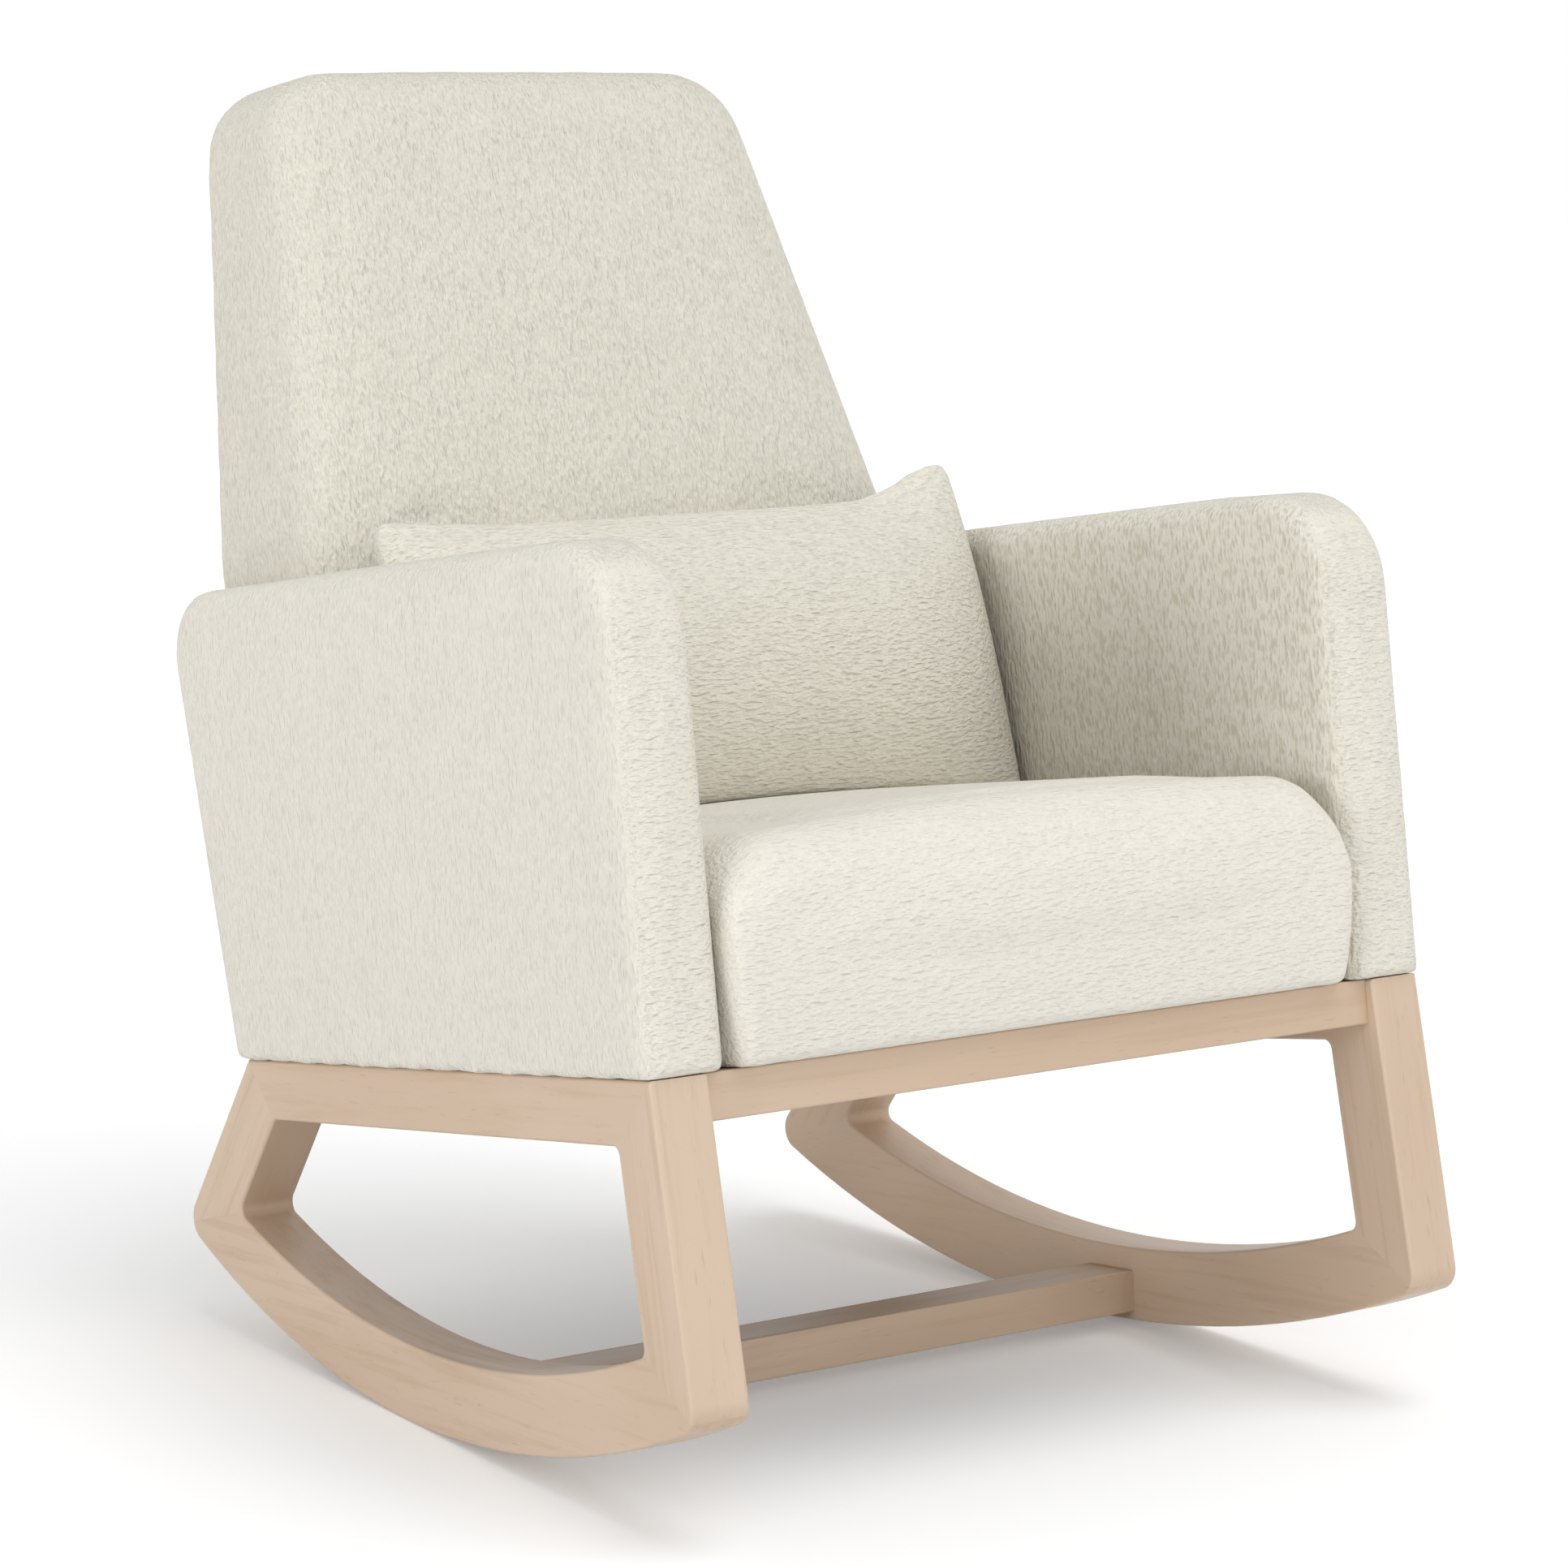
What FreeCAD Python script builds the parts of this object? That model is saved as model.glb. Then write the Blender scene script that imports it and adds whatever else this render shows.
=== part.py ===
"""Upholstered rocking chair, as an assembly of its own pieces.

Millimetres. +X is the right side as seen from the front, -Y is the front, +Z is up.
The pieces are laid out with the seat rails level and the rockers' lowest point at the origin. The whole
chair then rolls back on its rockers to the angle at which it comes to rest, so the origin is the middle
of the line on which the two rockers touch the floor.
"""
import FreeCAD
import Part

import math
import os

from FreeCAD import Placement, Rotation, Vector

OUT_FOLDER = "parts"
BOTH_SIDES = (("left", -1), ("right", 1))

# Driving dimensions: alias, value, meaning.
SIZES = [
    ("lean_angle", 8.7, "degrees the empty chair leans back at rest"),
    ("base_width", 700, "outer width of the side frames at the front leg"),
    ("frame_taper", 2.4, "degrees each side frame closes in towards the rear"),
    ("timber_thick", 47, "thickness of the side frames"),
    ("rocker_radius", 1000, "radius of the rocker's underside"),
    ("runner_depth", 60, "depth of the rocker, across its curve"),
    ("rail_top", 280, "height of the seat rails' top when they are level"),
    ("rail_height", 47, "height of a side rail"),
    ("frame_front", 266, "front edge of the side rail, ahead of the rockers' lowest point"),
    ("frame_rear", 370, "rear edge of the side rail, behind the rockers' lowest point"),
    ("front_leg_width", 56, "width of a front leg, seen from the side"),
    ("front_leg_lean", 4.6, "degrees the front leg's foot stands forward"),
    ("rear_leg_width", 60, "width of a rear leg, seen from the side"),
    ("rear_leg_lean", 46.2, "degrees the rear leg's foot stands back"),
    ("runner_end_round", 18, "radius at the toe and the heel of a rocker"),
    ("opening_round", 8, "radius in the corners of a side frame's opening"),
    ("edge_ease", 2.5, "radius on the long edges of the side frames"),
    ("cross_ease", 1.5, "radius on the long edges of the cross rails"),
    ("cross_rail_depth", 30, "depth of the front, middle and rear cross rails"),
    ("front_rail_height", 34, "height of the front cross rail"),
    ("front_rail_setback", 6, "how far the front cross rail lies behind the legs' front"),
    ("middle_rail_height", 30, "height of the middle cross rail"),
    ("rear_rail_height", 40, "height of the rear cross rail"),
    ("rear_rail_setback", 14, "how far the rear cross rail lies ahead of the side rail's end"),
    ("stretcher_height", 34, "height of the stretcher between the rockers"),
    ("stretcher_depth", 54, "depth of the stretcher, front to back"),
    ("stretcher_angle", 4, "degrees round the rocker's curve from its lowest point to the stretcher"),
    ("stretcher_lift", 8, "distance from the rocker's underside to the stretcher"),
    ("joint_gap", 0.05, "glue line between timbers"),
    ("dowel_diameter", 10, "diameter of the dowels"),
    ("dowel_length", 36, "length of the dowels"),
    ("dowel_spacing", 15, "distance between the two dowels of a joint"),
    ("dowel_gap", 0.15, "gap round a dowel"),
    ("bolt_diameter", 6, "diameter of the bolts that hold the upholstered parts to the base"),
    ("bolt_head", 14, "diameter of a bolt's head"),
    ("bolt_head_height", 4, "height of a bolt's head"),
    ("bolt_recess", 5, "depth of the recess for a bolt's head under a rail"),
    ("bolt_grip", 40, "length of a bolt above the rail that it comes through"),
    ("corner_block", 55, "leg of a triangular corner block"),
    ("corner_block_height", 28, "height of a corner block"),
    ("cover_thick", 2, "thickness of the cover fabric with its backing"),
    ("soft_gap", 0.4, "gap between soft pieces and their neighbours"),
    ("fabric_overhang", 6, "how far the upholstery stands proud of the base"),
    ("arm_top", 655, "height of the arms"),
    ("arm_thick", 71, "thickness of an arm at its front"),
    ("arm_rear_foot", 384, "rear edge of an arm at the rail, behind the rockers' lowest point"),
    ("arm_rear_lean", 9.6, "degrees the rear edge of an arm leans back"),
    ("arm_front_round", 75, "radius of an arm's front top corner"),
    ("arm_rear_round", 55, "radius of an arm's rear top corner"),
    ("arm_edge_round", 20, "radius along an arm's padded edges"),
    ("arm_crown", 5, "bulge of an arm's outer face"),
    ("panel_thick", 15, "thickness of an arm's plywood panel"),
    ("panel_inset", 27, "distance from an arm's outline to its panel"),
    ("panel_border", 70, "width of the panel round its cut-out"),
    ("panel_skin", 12, "padding between an arm's inner face and its panel"),
    ("seat_top", 438, "height of the seat at its sides"),
    ("seat_crown", 12, "rise of the seat to its middle"),
    ("seat_bulge", 12, "forward bulge of the seat's front face"),
    ("seat_front_round", 46, "radius of the seat's front edge"),
    ("seat_side_round", 52, "radius of the seat's side edges"),
    ("seat_frame_thick", 26, "thickness of the seat frame's rails"),
    ("seat_frame_height", 58, "height of the seat frame's rails"),
    ("seat_frame_inset", 15, "distance from an arm's inner face to the seat frame"),
    ("seat_deck_thick", 14, "thickness of the plywood deck on the seat frame"),
    ("deck_vent", 32, "diameter of the vent holes in the seat deck"),
    ("strap_width", 50, "width of the elastic webbing"),
    ("strap_thick", 2, "thickness of the elastic webbing"),
    ("dust_cover_thick", 1, "thickness of the cloth under the seat and the back"),
    ("back_top", 1070, "height of the back with the seat rails level"),
    ("back_top_half", 222, "half width of the back at its top, before rounding"),
    ("back_shoulder", 665, "height where the back starts to narrow"),
    ("back_front_foot", 148, "front face of the back at the rail's height"),
    ("back_front_lean", 15.7, "degrees the front face of the back leans"),
    ("back_rear_foot", 359, "rear face of the back at the rail's height"),
    ("back_rear_lean", 10.4, "degrees the rear face of the back leans"),
    ("back_shoulder_round", 400, "radius where the back starts to narrow"),
    ("back_corner_round", 68, "radius of the back's top corners"),
    ("back_front_round", 40, "radius along the back's front edges"),
    ("back_rear_round", 18, "radius along the back's rear edges"),
    ("back_crown", 12, "bulge of the back's front face"),
    ("back_pad", 34, "padding in front of the back's frame"),
    ("back_skin", 8, "wadding at the sides, top and rear of the back's frame"),
    ("post_width", 15, "thickness of the back's posts and top rail, seen from the front"),
    ("back_rail_height", 60, "height of the back frame's bottom rail"),
    ("back_rail_thick", 34, "thickness of the back frame's bottom rail"),
    ("pillow_side_gap", 7, "gap between the lumbar pillow and each arm"),
    ("pillow_height", 242, "height of the lumbar pillow between its long edges"),
    ("pillow_thick", 136, "thickness of the lumbar pillow"),
    ("pillow_ear", 24, "how far the pillow's top corners stand up"),
    ("pillow_edge", 8, "thickness of the pillow's seamed edge"),
    ("pillow_gap", 0.3, "gap under and behind the loose pillow"),
]


class Size:
    """The sheet's values, read back by alias."""


def make_sheet(doc):
    sheet = doc.addObject("Spreadsheet::Sheet", "Sizes")
    for row, (alias, value, meaning) in enumerate(SIZES, start=1):
        sheet.set(f"A{row}", meaning)
        sheet.set(f"B{row}", str(value))
        sheet.setAlias(f"B{row}", alias)
    doc.recompute()
    for alias, _, _ in SIZES:
        setattr(Size, alias, float(sheet.get(alias)))


def tan(degrees):
    return math.tan(math.radians(degrees))


def cos(degrees):
    return math.cos(math.radians(degrees))


# Places: the level layout, the two side frames in it, and the lean of the finished chair.


def chair_lean():
    """Roll back on the rockers, about the centre of their curve."""
    roll = Rotation(Vector(1, 0, 0), -Size.lean_angle)
    return Placement(Vector(0, 0, 0), roll, Vector(0, 0, Size.rocker_radius))


def side_place(side):
    """Upright side frame, turned so that the chair narrows towards the rear."""
    turn = Rotation(Vector(0, 0, 1), side * Size.frame_taper)
    middle = Size.base_width / 2 - Size.timber_thick / 2 / cos(Size.frame_taper)
    front = Vector(0, -Size.frame_front, 0)
    return Placement(Vector(side * middle, -Size.frame_front, 0) - turn.multVec(front), turn)


def frame_inside(y):
    """Distance from the chair's middle to a side frame's inner face."""
    inner = Size.base_width / 2 - Size.timber_thick / cos(Size.frame_taper)
    return inner - (y + Size.frame_front) * tan(Size.frame_taper)


def arm_outside(y):
    """Distance from the chair's middle to an arm's outer face."""
    return Size.base_width / 2 + Size.fabric_overhang - (y + Size.frame_front) * tan(Size.frame_taper)


def arm_inside():
    """Distance from the chair's middle to an arm's inner face, which lies straight front to back."""
    return Size.base_width / 2 + Size.fabric_overhang - Size.arm_thick


def back_front(z):
    """Front face of the back's padding, at its sides."""
    return Size.back_front_foot + (z - Size.rail_top) * tan(Size.back_front_lean)


def back_rear(z):
    """Rear face of the back."""
    return Size.back_rear_foot + (z - Size.rail_top) * tan(Size.back_rear_lean)


def seat_frame_rear():
    """Rear face of the seat frame, just ahead of the back's padding."""
    return Size.back_front_foot - Size.back_crown - 4 * Size.cover_thick


# Small builders.


def body_sketch(body, name, role, edges):
    """Sketch on one of a body's own origin planes."""
    sketch = body.newObject("Sketcher::SketchObject", name)
    plane = next(feature for feature in body.Origin.OriginFeatures if feature.Role == role)
    sketch.AttachmentSupport = [(plane, "")]
    sketch.MapMode = "FlatFace"
    for edge in edges:
        sketch.addGeometry(edge, False)
    return sketch


def padded_body(doc, name, role, edges, length):
    """Body with one pad, whose length is an expression on the sheet."""
    body = doc.addObject("PartDesign::Body", name)
    sketch = body_sketch(body, f"{name}_outline", role, edges)
    pad = body.newObject("PartDesign::Pad", f"{name}_pad")
    pad.Profile = sketch
    pad.setExpression("Length", length)
    doc.recompute()
    return body


def fillet_body(doc, body, name, radius, wanted):
    """Round the edges of a body's tip for which wanted(edge) is true."""
    base = body.Tip
    names = [f"Edge{i}" for i, edge in enumerate(base.Shape.Edges, start=1) if wanted(edge)]
    fillet = body.newObject("PartDesign::Fillet", name)
    fillet.Base = (base, names)
    fillet.setExpression("Radius", radius)
    doc.recompute()


def closed(points):
    """Straight sides of a closed outline."""
    return [Part.LineSegment(a, b) for a, b in zip(points, points[1:] + points[:1])]


def peg(doc, name, start, direction, radius, height):
    """Cylinder from start along direction, sized by expressions."""
    cylinder = doc.addObject("Part::Cylinder", name)
    cylinder.setExpression("Radius", radius)
    cylinder.setExpression("Height", height)
    cylinder.Placement = Placement(start, Rotation(Vector(0, 0, 1), direction))
    return cylinder


def group(doc, name, members):
    """Several separate solids under one name."""
    compound = doc.addObject("Part::Compound", name)
    compound.Links = members
    return compound


def drilled(doc, name, base, holes):
    """A piece with its holes cut."""
    cut = doc.addObject("Part::Cut", name)
    cut.Base = base
    cut.Tool = holes
    return cut


def solid(doc, name, shape):
    feature = doc.addObject("Part::Feature", name)
    feature.Shape = shape
    return feature


def rounded_outline(points, radii):
    """Closed wire through points, with an arc of its own radius at each corner."""
    stops = []
    for i, corner in enumerate(points):
        before = (points[i - 1] - corner).normalize()
        after = (points[(i + 1) % len(points)] - corner).normalize()
        half = before.getAngle(after) / 2
        reach = radii[i] / math.tan(half)
        towards = (before + after).normalize()
        middle = corner + towards * (radii[i] / math.sin(half) - radii[i])
        stops.append((corner + before * reach, middle, corner + after * reach, radii[i]))
    edges = []
    for i, (start, middle, end, radius) in enumerate(stops):
        if radius > 0:
            edges.append(Part.Arc(start, middle, end).toShape())
        following = stops[(i + 1) % len(stops)][0]
        edges.append(Part.LineSegment(end, following).toShape())
    return Part.Wire(edges)


def crossed(first, *others):
    """What several prisms have in common."""
    shape = first
    for other in others:
        shape = shape.common(other)
    return shape.removeSplitter().Solids[0]


def soften(shape, radius, wanted):
    """Round the edges for which wanted(edge) is true."""
    return shape.makeFillet(radius, [edge for edge in shape.Edges if wanted(edge)]).Solids[0]


def middle_of(edge):
    return edge.valueAt((edge.FirstParameter + edge.LastParameter) / 2)


# Side frames: rail, two legs and a curved rocker, mitred into a closed loop.


def down_to_circle(y, slope, radius):
    """Where a line from the rail's top, leaning by slope, meets a circle about the rocker's centre."""
    drop = Size.rail_top - Size.rocker_radius
    a = slope * slope + 1
    b = y * slope - drop
    c = y * y + drop * drop - radius * radius
    step = (-b + math.sqrt(b * b - a * c)) / a
    return Vector(0, y + slope * step, Size.rail_top - step)


def frame_corners():
    """Corners of the loop, outside and inside, in the side frame's own plane."""
    front_slope = -tan(Size.front_leg_lean)
    rear_slope = tan(Size.rear_leg_lean)
    front_inner = -Size.frame_front + Size.front_leg_width / cos(Size.front_leg_lean)
    rear_inner = Size.frame_rear - Size.rear_leg_width / cos(Size.rear_leg_lean)
    under = Size.rail_top - Size.rail_height
    inner_radius = Size.rocker_radius - Size.runner_depth
    return {
        "front_top": Vector(0, -Size.frame_front, Size.rail_top),
        "rear_top": Vector(0, Size.frame_rear, Size.rail_top),
        "toe": down_to_circle(-Size.frame_front, front_slope, Size.rocker_radius),
        "heel": down_to_circle(Size.frame_rear, rear_slope, Size.rocker_radius),
        "front_top_in": Vector(0, front_inner + front_slope * Size.rail_height, under),
        "rear_top_in": Vector(0, rear_inner + rear_slope * Size.rail_height, under),
        "toe_in": down_to_circle(front_inner, front_slope, inner_radius),
        "heel_in": down_to_circle(rear_inner, rear_slope, inner_radius),
    }


def in_sketch(point):
    """A point of the frame's plane in its sketch's own axes."""
    return Vector(point.y, point.z, 0)


def make_frame_form(doc, at):
    """The whole loop before it is cut into its four timbers."""
    low = Vector(0, 0, 0)
    low_in = Vector(0, 0, Size.runner_depth)
    loops = []
    for suffix, bottom in (("", low), ("_in", low_in)):
        corners = ("front_top", "toe", "heel", "rear_top")
        front, toe, heel, rear = (in_sketch(at[corner + suffix]) for corner in corners)
        loops += [
            Part.LineSegment(front, toe),
            Part.Arc(toe, in_sketch(bottom), heel),
            Part.LineSegment(heel, rear),
            Part.LineSegment(rear, front),
        ]
    body = padded_body(doc, "side_frame_form", "YZ_Plane", loops, "Sizes.timber_thick")

    def corner(names):
        spots = [at[name] for name in names]

        def wanted(edge):
            point = middle_of(edge)
            return any(math.hypot(point.y - s.y, point.z - s.z) < 0.01 for s in spots)

        return wanted

    def on_face(edge):
        return abs(edge.Vertexes[0].X - edge.Vertexes[-1].X) < 0.01

    fillet_body(doc, body, "runner_ends", "Sizes.runner_end_round", corner(("toe", "heel")))
    inside = ("front_top_in", "rear_top_in", "toe_in", "heel_in")
    fillet_body(doc, body, "opening_corners", "Sizes.opening_round", corner(inside))
    fillet_body(doc, body, "eased_edges", "Sizes.edge_ease", on_face)
    body.Placement = Placement(Vector(-Size.timber_thick / 2, 0, 0), Rotation())
    return body


TIMBERS = {
    "side_rail": ("front_top", "rear_top"),
    "front_leg": ("front_top", "toe"),
    "rear_leg": ("rear_top", "heel"),
    "runner": ("toe", "heel"),
}


def mitre_line(at, corner):
    """A joint's line, carried a little past both ends."""
    outer, inner = at[corner], at[corner + "_in"]
    return outer + (outer - inner) * 0.5, inner + (inner - outer) * 0.3


def timber_region(at, corners):
    """Prism that holds one timber of the loop, bounded by the mitres at its two ends."""
    (first_out, first_in), (last_out, last_in) = (mitre_line(at, corner) for corner in corners)
    points = [first_out, first_in, last_in, last_out]
    if corners == ("toe", "heel"):
        below = -Size.runner_depth
        points += [Vector(0, last_out.y, below), Vector(0, first_out.y, below)]
    face = Part.Face(Part.makePolygon(points + points[:1]))
    return face.extrude(Vector(2 * Size.timber_thick, 0, 0)).translate(Vector(-Size.timber_thick, 0, 0))


def mitre_pegs(at, side):
    """Start and direction of the dowel through each mitre, towards the frame's outer side."""
    outward = side * Size.timber_thick / 4
    for corner in ("front_top", "rear_top", "toe", "heel"):
        middle = (at[corner] + at[corner + "_in"]) / 2
        along = (at[corner] - at[corner + "_in"]).normalize()
        across = along.cross(Vector(1, 0, 0))
        yield middle + Vector(outward, 0, 0) - across * (Size.dowel_length / 2), across


def cross_joints():
    """Middle of each cross rail's end in the side frame's plane, and the line of its two dowels."""
    radius = Size.rocker_radius - Size.stretcher_lift - Size.stretcher_height / 2
    turn = math.radians(Size.stretcher_angle)
    upright = Vector(0, 0, 1)
    half = Size.cross_rail_depth / 2
    front = -Size.frame_front + Size.front_rail_setback + half
    rear = Size.frame_rear - Size.rear_rail_setback - half
    middle = seat_frame_rear() - Size.seat_frame_thick / 2
    along_curve = Vector(0, math.cos(turn), math.sin(turn))
    stretcher = Vector(0, radius * math.sin(turn), Size.rocker_radius - radius * math.cos(turn))
    return {
        "front_rail": (Vector(0, front, Size.rail_top - Size.front_rail_height / 2), upright),
        "middle_rail": (Vector(0, middle, Size.rail_top - Size.middle_rail_height / 2), upright),
        "rear_rail": (Vector(0, rear, Size.rail_top - Size.rear_rail_height / 2), upright),
        "stretcher": (stretcher, along_curve),
    }


def cross_pegs(side):
    """Start and direction of the dowels that join the cross rails to one side frame, in its own axes."""
    inner_face = -side * Size.timber_thick / 2
    for name, (middle, line) in cross_joints().items():
        for step in (-0.5, 0.5):
            spot = middle + line * (step * Size.dowel_spacing)
            yield name, spot + Vector(inner_face - Size.dowel_length / 2, 0, 0), Vector(1, 0, 0)


def dowel(doc, name, start, direction):
    return peg(doc, name, start, direction, "Sizes.dowel_diameter / 2", "Sizes.dowel_length")


def dowel_hole(doc, name, start, direction):
    wide = "Sizes.dowel_diameter / 2 + Sizes.dowel_gap"
    long = "Sizes.dowel_length + 2 * Sizes.dowel_gap"
    return peg(doc, name, start - direction * Size.dowel_gap, direction, wide, long)


def make_cross_rail(doc, name, height, holes):
    """Level cross rail, cut to the taper of the side frames at both ends."""
    middle, _ = cross_joints()[name]
    front = middle.y - Size.cross_rail_depth / 2
    rear = middle.y + Size.cross_rail_depth / 2
    near = frame_inside(front) - Size.joint_gap
    far = frame_inside(rear) - Size.joint_gap
    plan = [Vector(-near, front, 0), Vector(near, front, 0), Vector(far, rear, 0), Vector(-far, rear, 0)]
    body = padded_body(doc, f"{name}_form", "XY_Plane", closed(plan), f"Sizes.{height}")
    fillet_body(doc, body, f"{name}_eased", "Sizes.cross_ease", runs_across)
    body.Placement = Placement(Vector(0, 0, Size.rail_top - getattr(Size, height)), Rotation())
    return drilled(doc, name, body, holes)


def runs_across(edge):
    """True for an edge along a cross rail's length."""
    return abs(edge.Vertexes[0].X - edge.Vertexes[-1].X) > Size.base_width / 2


def make_stretcher(doc, holes):
    """Low bar between the rockers, square to their curve."""
    middle, _ = cross_joints()["stretcher"]
    half = Size.stretcher_depth / 2
    reach = half * cos(Size.stretcher_angle)
    front = frame_inside(middle.y - reach) - Size.joint_gap
    rear = frame_inside(middle.y + reach) - Size.joint_gap
    plan = [(-front, -half), (front, -half), (rear, half), (-rear, half)]
    edges = closed([Vector(x, y, 0) for x, y in plan])
    body = padded_body(doc, "stretcher_form", "XY_Plane", edges, "Sizes.stretcher_height")
    fillet_body(doc, body, "stretcher_eased", "Sizes.cross_ease", runs_across)
    turn = Rotation(Vector(1, 0, 0), Size.stretcher_angle)
    body.Placement = Placement(middle - turn.multVec(Vector(0, 0, Size.stretcher_height / 2)), turn)
    return drilled(doc, "stretcher", body, holes)


def make_corner_blocks(doc):
    """Triangular blocks where the front and rear rails meet the side frames."""
    joints = cross_joints()
    spots = (
        ("front", joints["front_rail"][0].y + Size.cross_rail_depth / 2, 1),
        ("rear", joints["rear_rail"][0].y - Size.cross_rail_depth / 2, -1),
    )
    blocks = []
    for end, rail_face, towards in spots:
        for hand, side in BOTH_SIDES:
            y = rail_face + towards * Size.joint_gap
            away = y + towards * Size.corner_block
            corner = Vector(side * (frame_inside(y) - Size.joint_gap), y, 0)
            along = Vector(side * (frame_inside(away) - Size.joint_gap), away, 0)
            across = corner - Vector(side * Size.corner_block, 0, 0)
            name = f"corner_block_{end}_{hand}"
            edges = closed([corner, along, across])
            block = padded_body(doc, name, "XY_Plane", edges, "Sizes.corner_block_height")
            top = Size.rail_top - 2 * Size.dust_cover_thick
            block.Placement = Placement(Vector(0, 0, top - Size.corner_block_height), Rotation())
            blocks.append(block)
    return group(doc, "corner_blocks", blocks)


# Bolts that come up through the base's rails into the upholstered pieces.


def bolt(doc, name, spot, rail_height):
    """Bolt with its head sunk into a rail, above the spot on the rail's underside."""
    up = Vector(0, 0, 1)
    seat = spot + up * Size.bolt_recess
    under = seat - up * Size.bolt_head_height
    head = peg(doc, f"{name}_head", under, up, "Sizes.bolt_head / 2", "Sizes.bolt_head_height")
    length = f"Sizes.{rail_height} - Sizes.bolt_recess + Sizes.bolt_grip"
    shank = peg(doc, f"{name}_shank", seat, up, "Sizes.bolt_diameter / 2", length)
    whole = doc.addObject("Part::Fuse", name)
    whole.Base = head
    whole.Tool = shank
    return whole


def bolt_hole(doc, name, spot, rail_height):
    """Clearance hole for a bolt, with the recess for its head."""
    up = Vector(0, 0, 1)
    start = spot - up * Size.dowel_gap
    wide = "Sizes.bolt_diameter / 2 + Sizes.dowel_gap"
    long = f"Sizes.{rail_height} + Sizes.bolt_grip + 2 * Sizes.dowel_gap"
    head_wide = "Sizes.bolt_head / 2 + Sizes.dowel_gap"
    hole = doc.addObject("Part::Fuse", name)
    hole.Base = peg(doc, f"{name}_shank", start, up, wide, long)
    hole.Tool = peg(doc, f"{name}_recess", start, up, head_wide, "Sizes.bolt_recess + Sizes.dowel_gap")
    return hole


def bolt_spots():
    """Underside of each bolted rail, by the piece that the bolt holds."""
    joints = cross_joints()
    third = arm_inside() * 2 / 3
    panel = arm_inside() + Size.panel_skin + Size.panel_thick / 2
    front_y = joints["front_rail"][0].y
    middle_y = joints["middle_rail"][0].y
    rear_y = joints["rear_rail"][0].y
    span = Size.frame_front + Size.frame_rear
    arm_ys = (-Size.frame_front + span / 4, -Size.frame_front + span * 4 / 5)
    return {
        "seat_frame_front": [(x, front_y, "front_rail_height") for x in (-third, third)],
        "seat_frame_rear": [(x, middle_y, "middle_rail_height") for x in (-third, third)],
        "arm_frame_left": [(-panel, y, "rail_height") for y in arm_ys],
        "arm_frame_right": [(panel, y, "rail_height") for y in arm_ys],
        "back_bottom_rail": [(x, rear_y, "rear_rail_height") for x in (-third, third)],
    }


def under_rail(x, y, rail_height):
    return Vector(x, y, Size.rail_top - getattr(Size, rail_height))


def bolt_holes(doc, name, spots):
    """Clearance holes for some bolts, as one tool."""
    return group(doc, name, [
        bolt_hole(doc, f"{name}_{i}", under_rail(x, y, height), height)
        for i, (x, y, height) in enumerate(spots)
    ])


# Seat frame, deck and dust cover.


def box(doc, name, corner, length, width, height):
    """Box from its low corner. Each size is an expression, or a length worked out from the sheet."""
    block = doc.addObject("Part::Box", name)
    block.setExpression("Length", str(length))
    block.setExpression("Width", str(width))
    block.setExpression("Height", str(height))
    block.Placement = Placement(corner, Rotation())
    return block


SEAT_HALF = "Sizes.base_width / 2 + Sizes.fabric_overhang - Sizes.arm_thick - Sizes.seat_frame_inset"


def seat_frame_box():
    """Half width, front and rear of the seat frame."""
    front = cross_joints()["front_rail"][0].y - Size.seat_frame_thick / 2
    return arm_inside() - Size.seat_frame_inset, front, seat_frame_rear()


def make_seat_frame(doc, spots):
    half, front, rear = seat_frame_box()
    thick = "Sizes.seat_frame_thick"
    height = "Sizes.seat_frame_height"
    made = {}
    long = f"2 * ({SEAT_HALF})"
    for name, y in (("seat_frame_front", front), ("seat_frame_rear", rear - Size.seat_frame_thick)):
        rail = box(doc, f"{name}_form", Vector(-half, y, Size.rail_top), long, thick, height)
        made[name] = drilled(doc, name, rail, bolt_holes(doc, f"{name}_holes", spots[name]))
    inner = front + Size.seat_frame_thick
    between = rear - inner - Size.seat_frame_thick
    for hand, side in BOTH_SIDES:
        name = f"seat_frame_{hand}"
        x = half - Size.seat_frame_thick if side > 0 else -half
        made[name] = box(doc, name, Vector(x, inner, Size.rail_top), thick, between, height)
    return made


def make_seat_deck(doc):
    """Plywood deck on the seat frame, with vent holes under the foam."""
    half, front, rear = seat_frame_box()
    corners = [(-half, front), (half, front), (half, rear), (-half, rear)]
    edges = closed([Vector(x, y, 0) for x, y in corners])
    up = Vector(0, 0, 1)
    for across in (-0.6, -0.2, 0.2, 0.6):
        for along in (0.3, 0.7):
            centre = Vector(across * half, front + along * (rear - front), 0)
            edges.append(Part.Circle(centre, up, Size.deck_vent / 2))
    deck = padded_body(doc, "seat_deck", "XY_Plane", edges, "Sizes.seat_deck_thick")
    deck.Placement = Placement(Vector(0, 0, Size.rail_top + Size.seat_frame_height), Rotation())
    return deck


def make_dust_cover(doc):
    """Thin cloth stapled under the seat and the back, in two panels between the cross rails."""
    half, _, _ = seat_frame_box()
    joints = cross_joints()
    edge = Size.cross_rail_depth / 2 + Size.soft_gap
    long = f"2 * ({SEAT_HALF})"
    thick = "Sizes.dust_cover_thick"
    panels = {"seat": ("front_rail", "middle_rail"), "back": ("middle_rail", "rear_rail")}
    sheets = []
    for panel, (ahead, behind) in panels.items():
        front = joints[ahead][0].y + edge
        rear = joints[behind][0].y - edge
        corner = Vector(-half, front, Size.rail_top - Size.dust_cover_thick)
        sheets.append(box(doc, f"dust_cover_{panel}", corner, long, rear - front, thick))
    return group(doc, "dust_cover", sheets)


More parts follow.
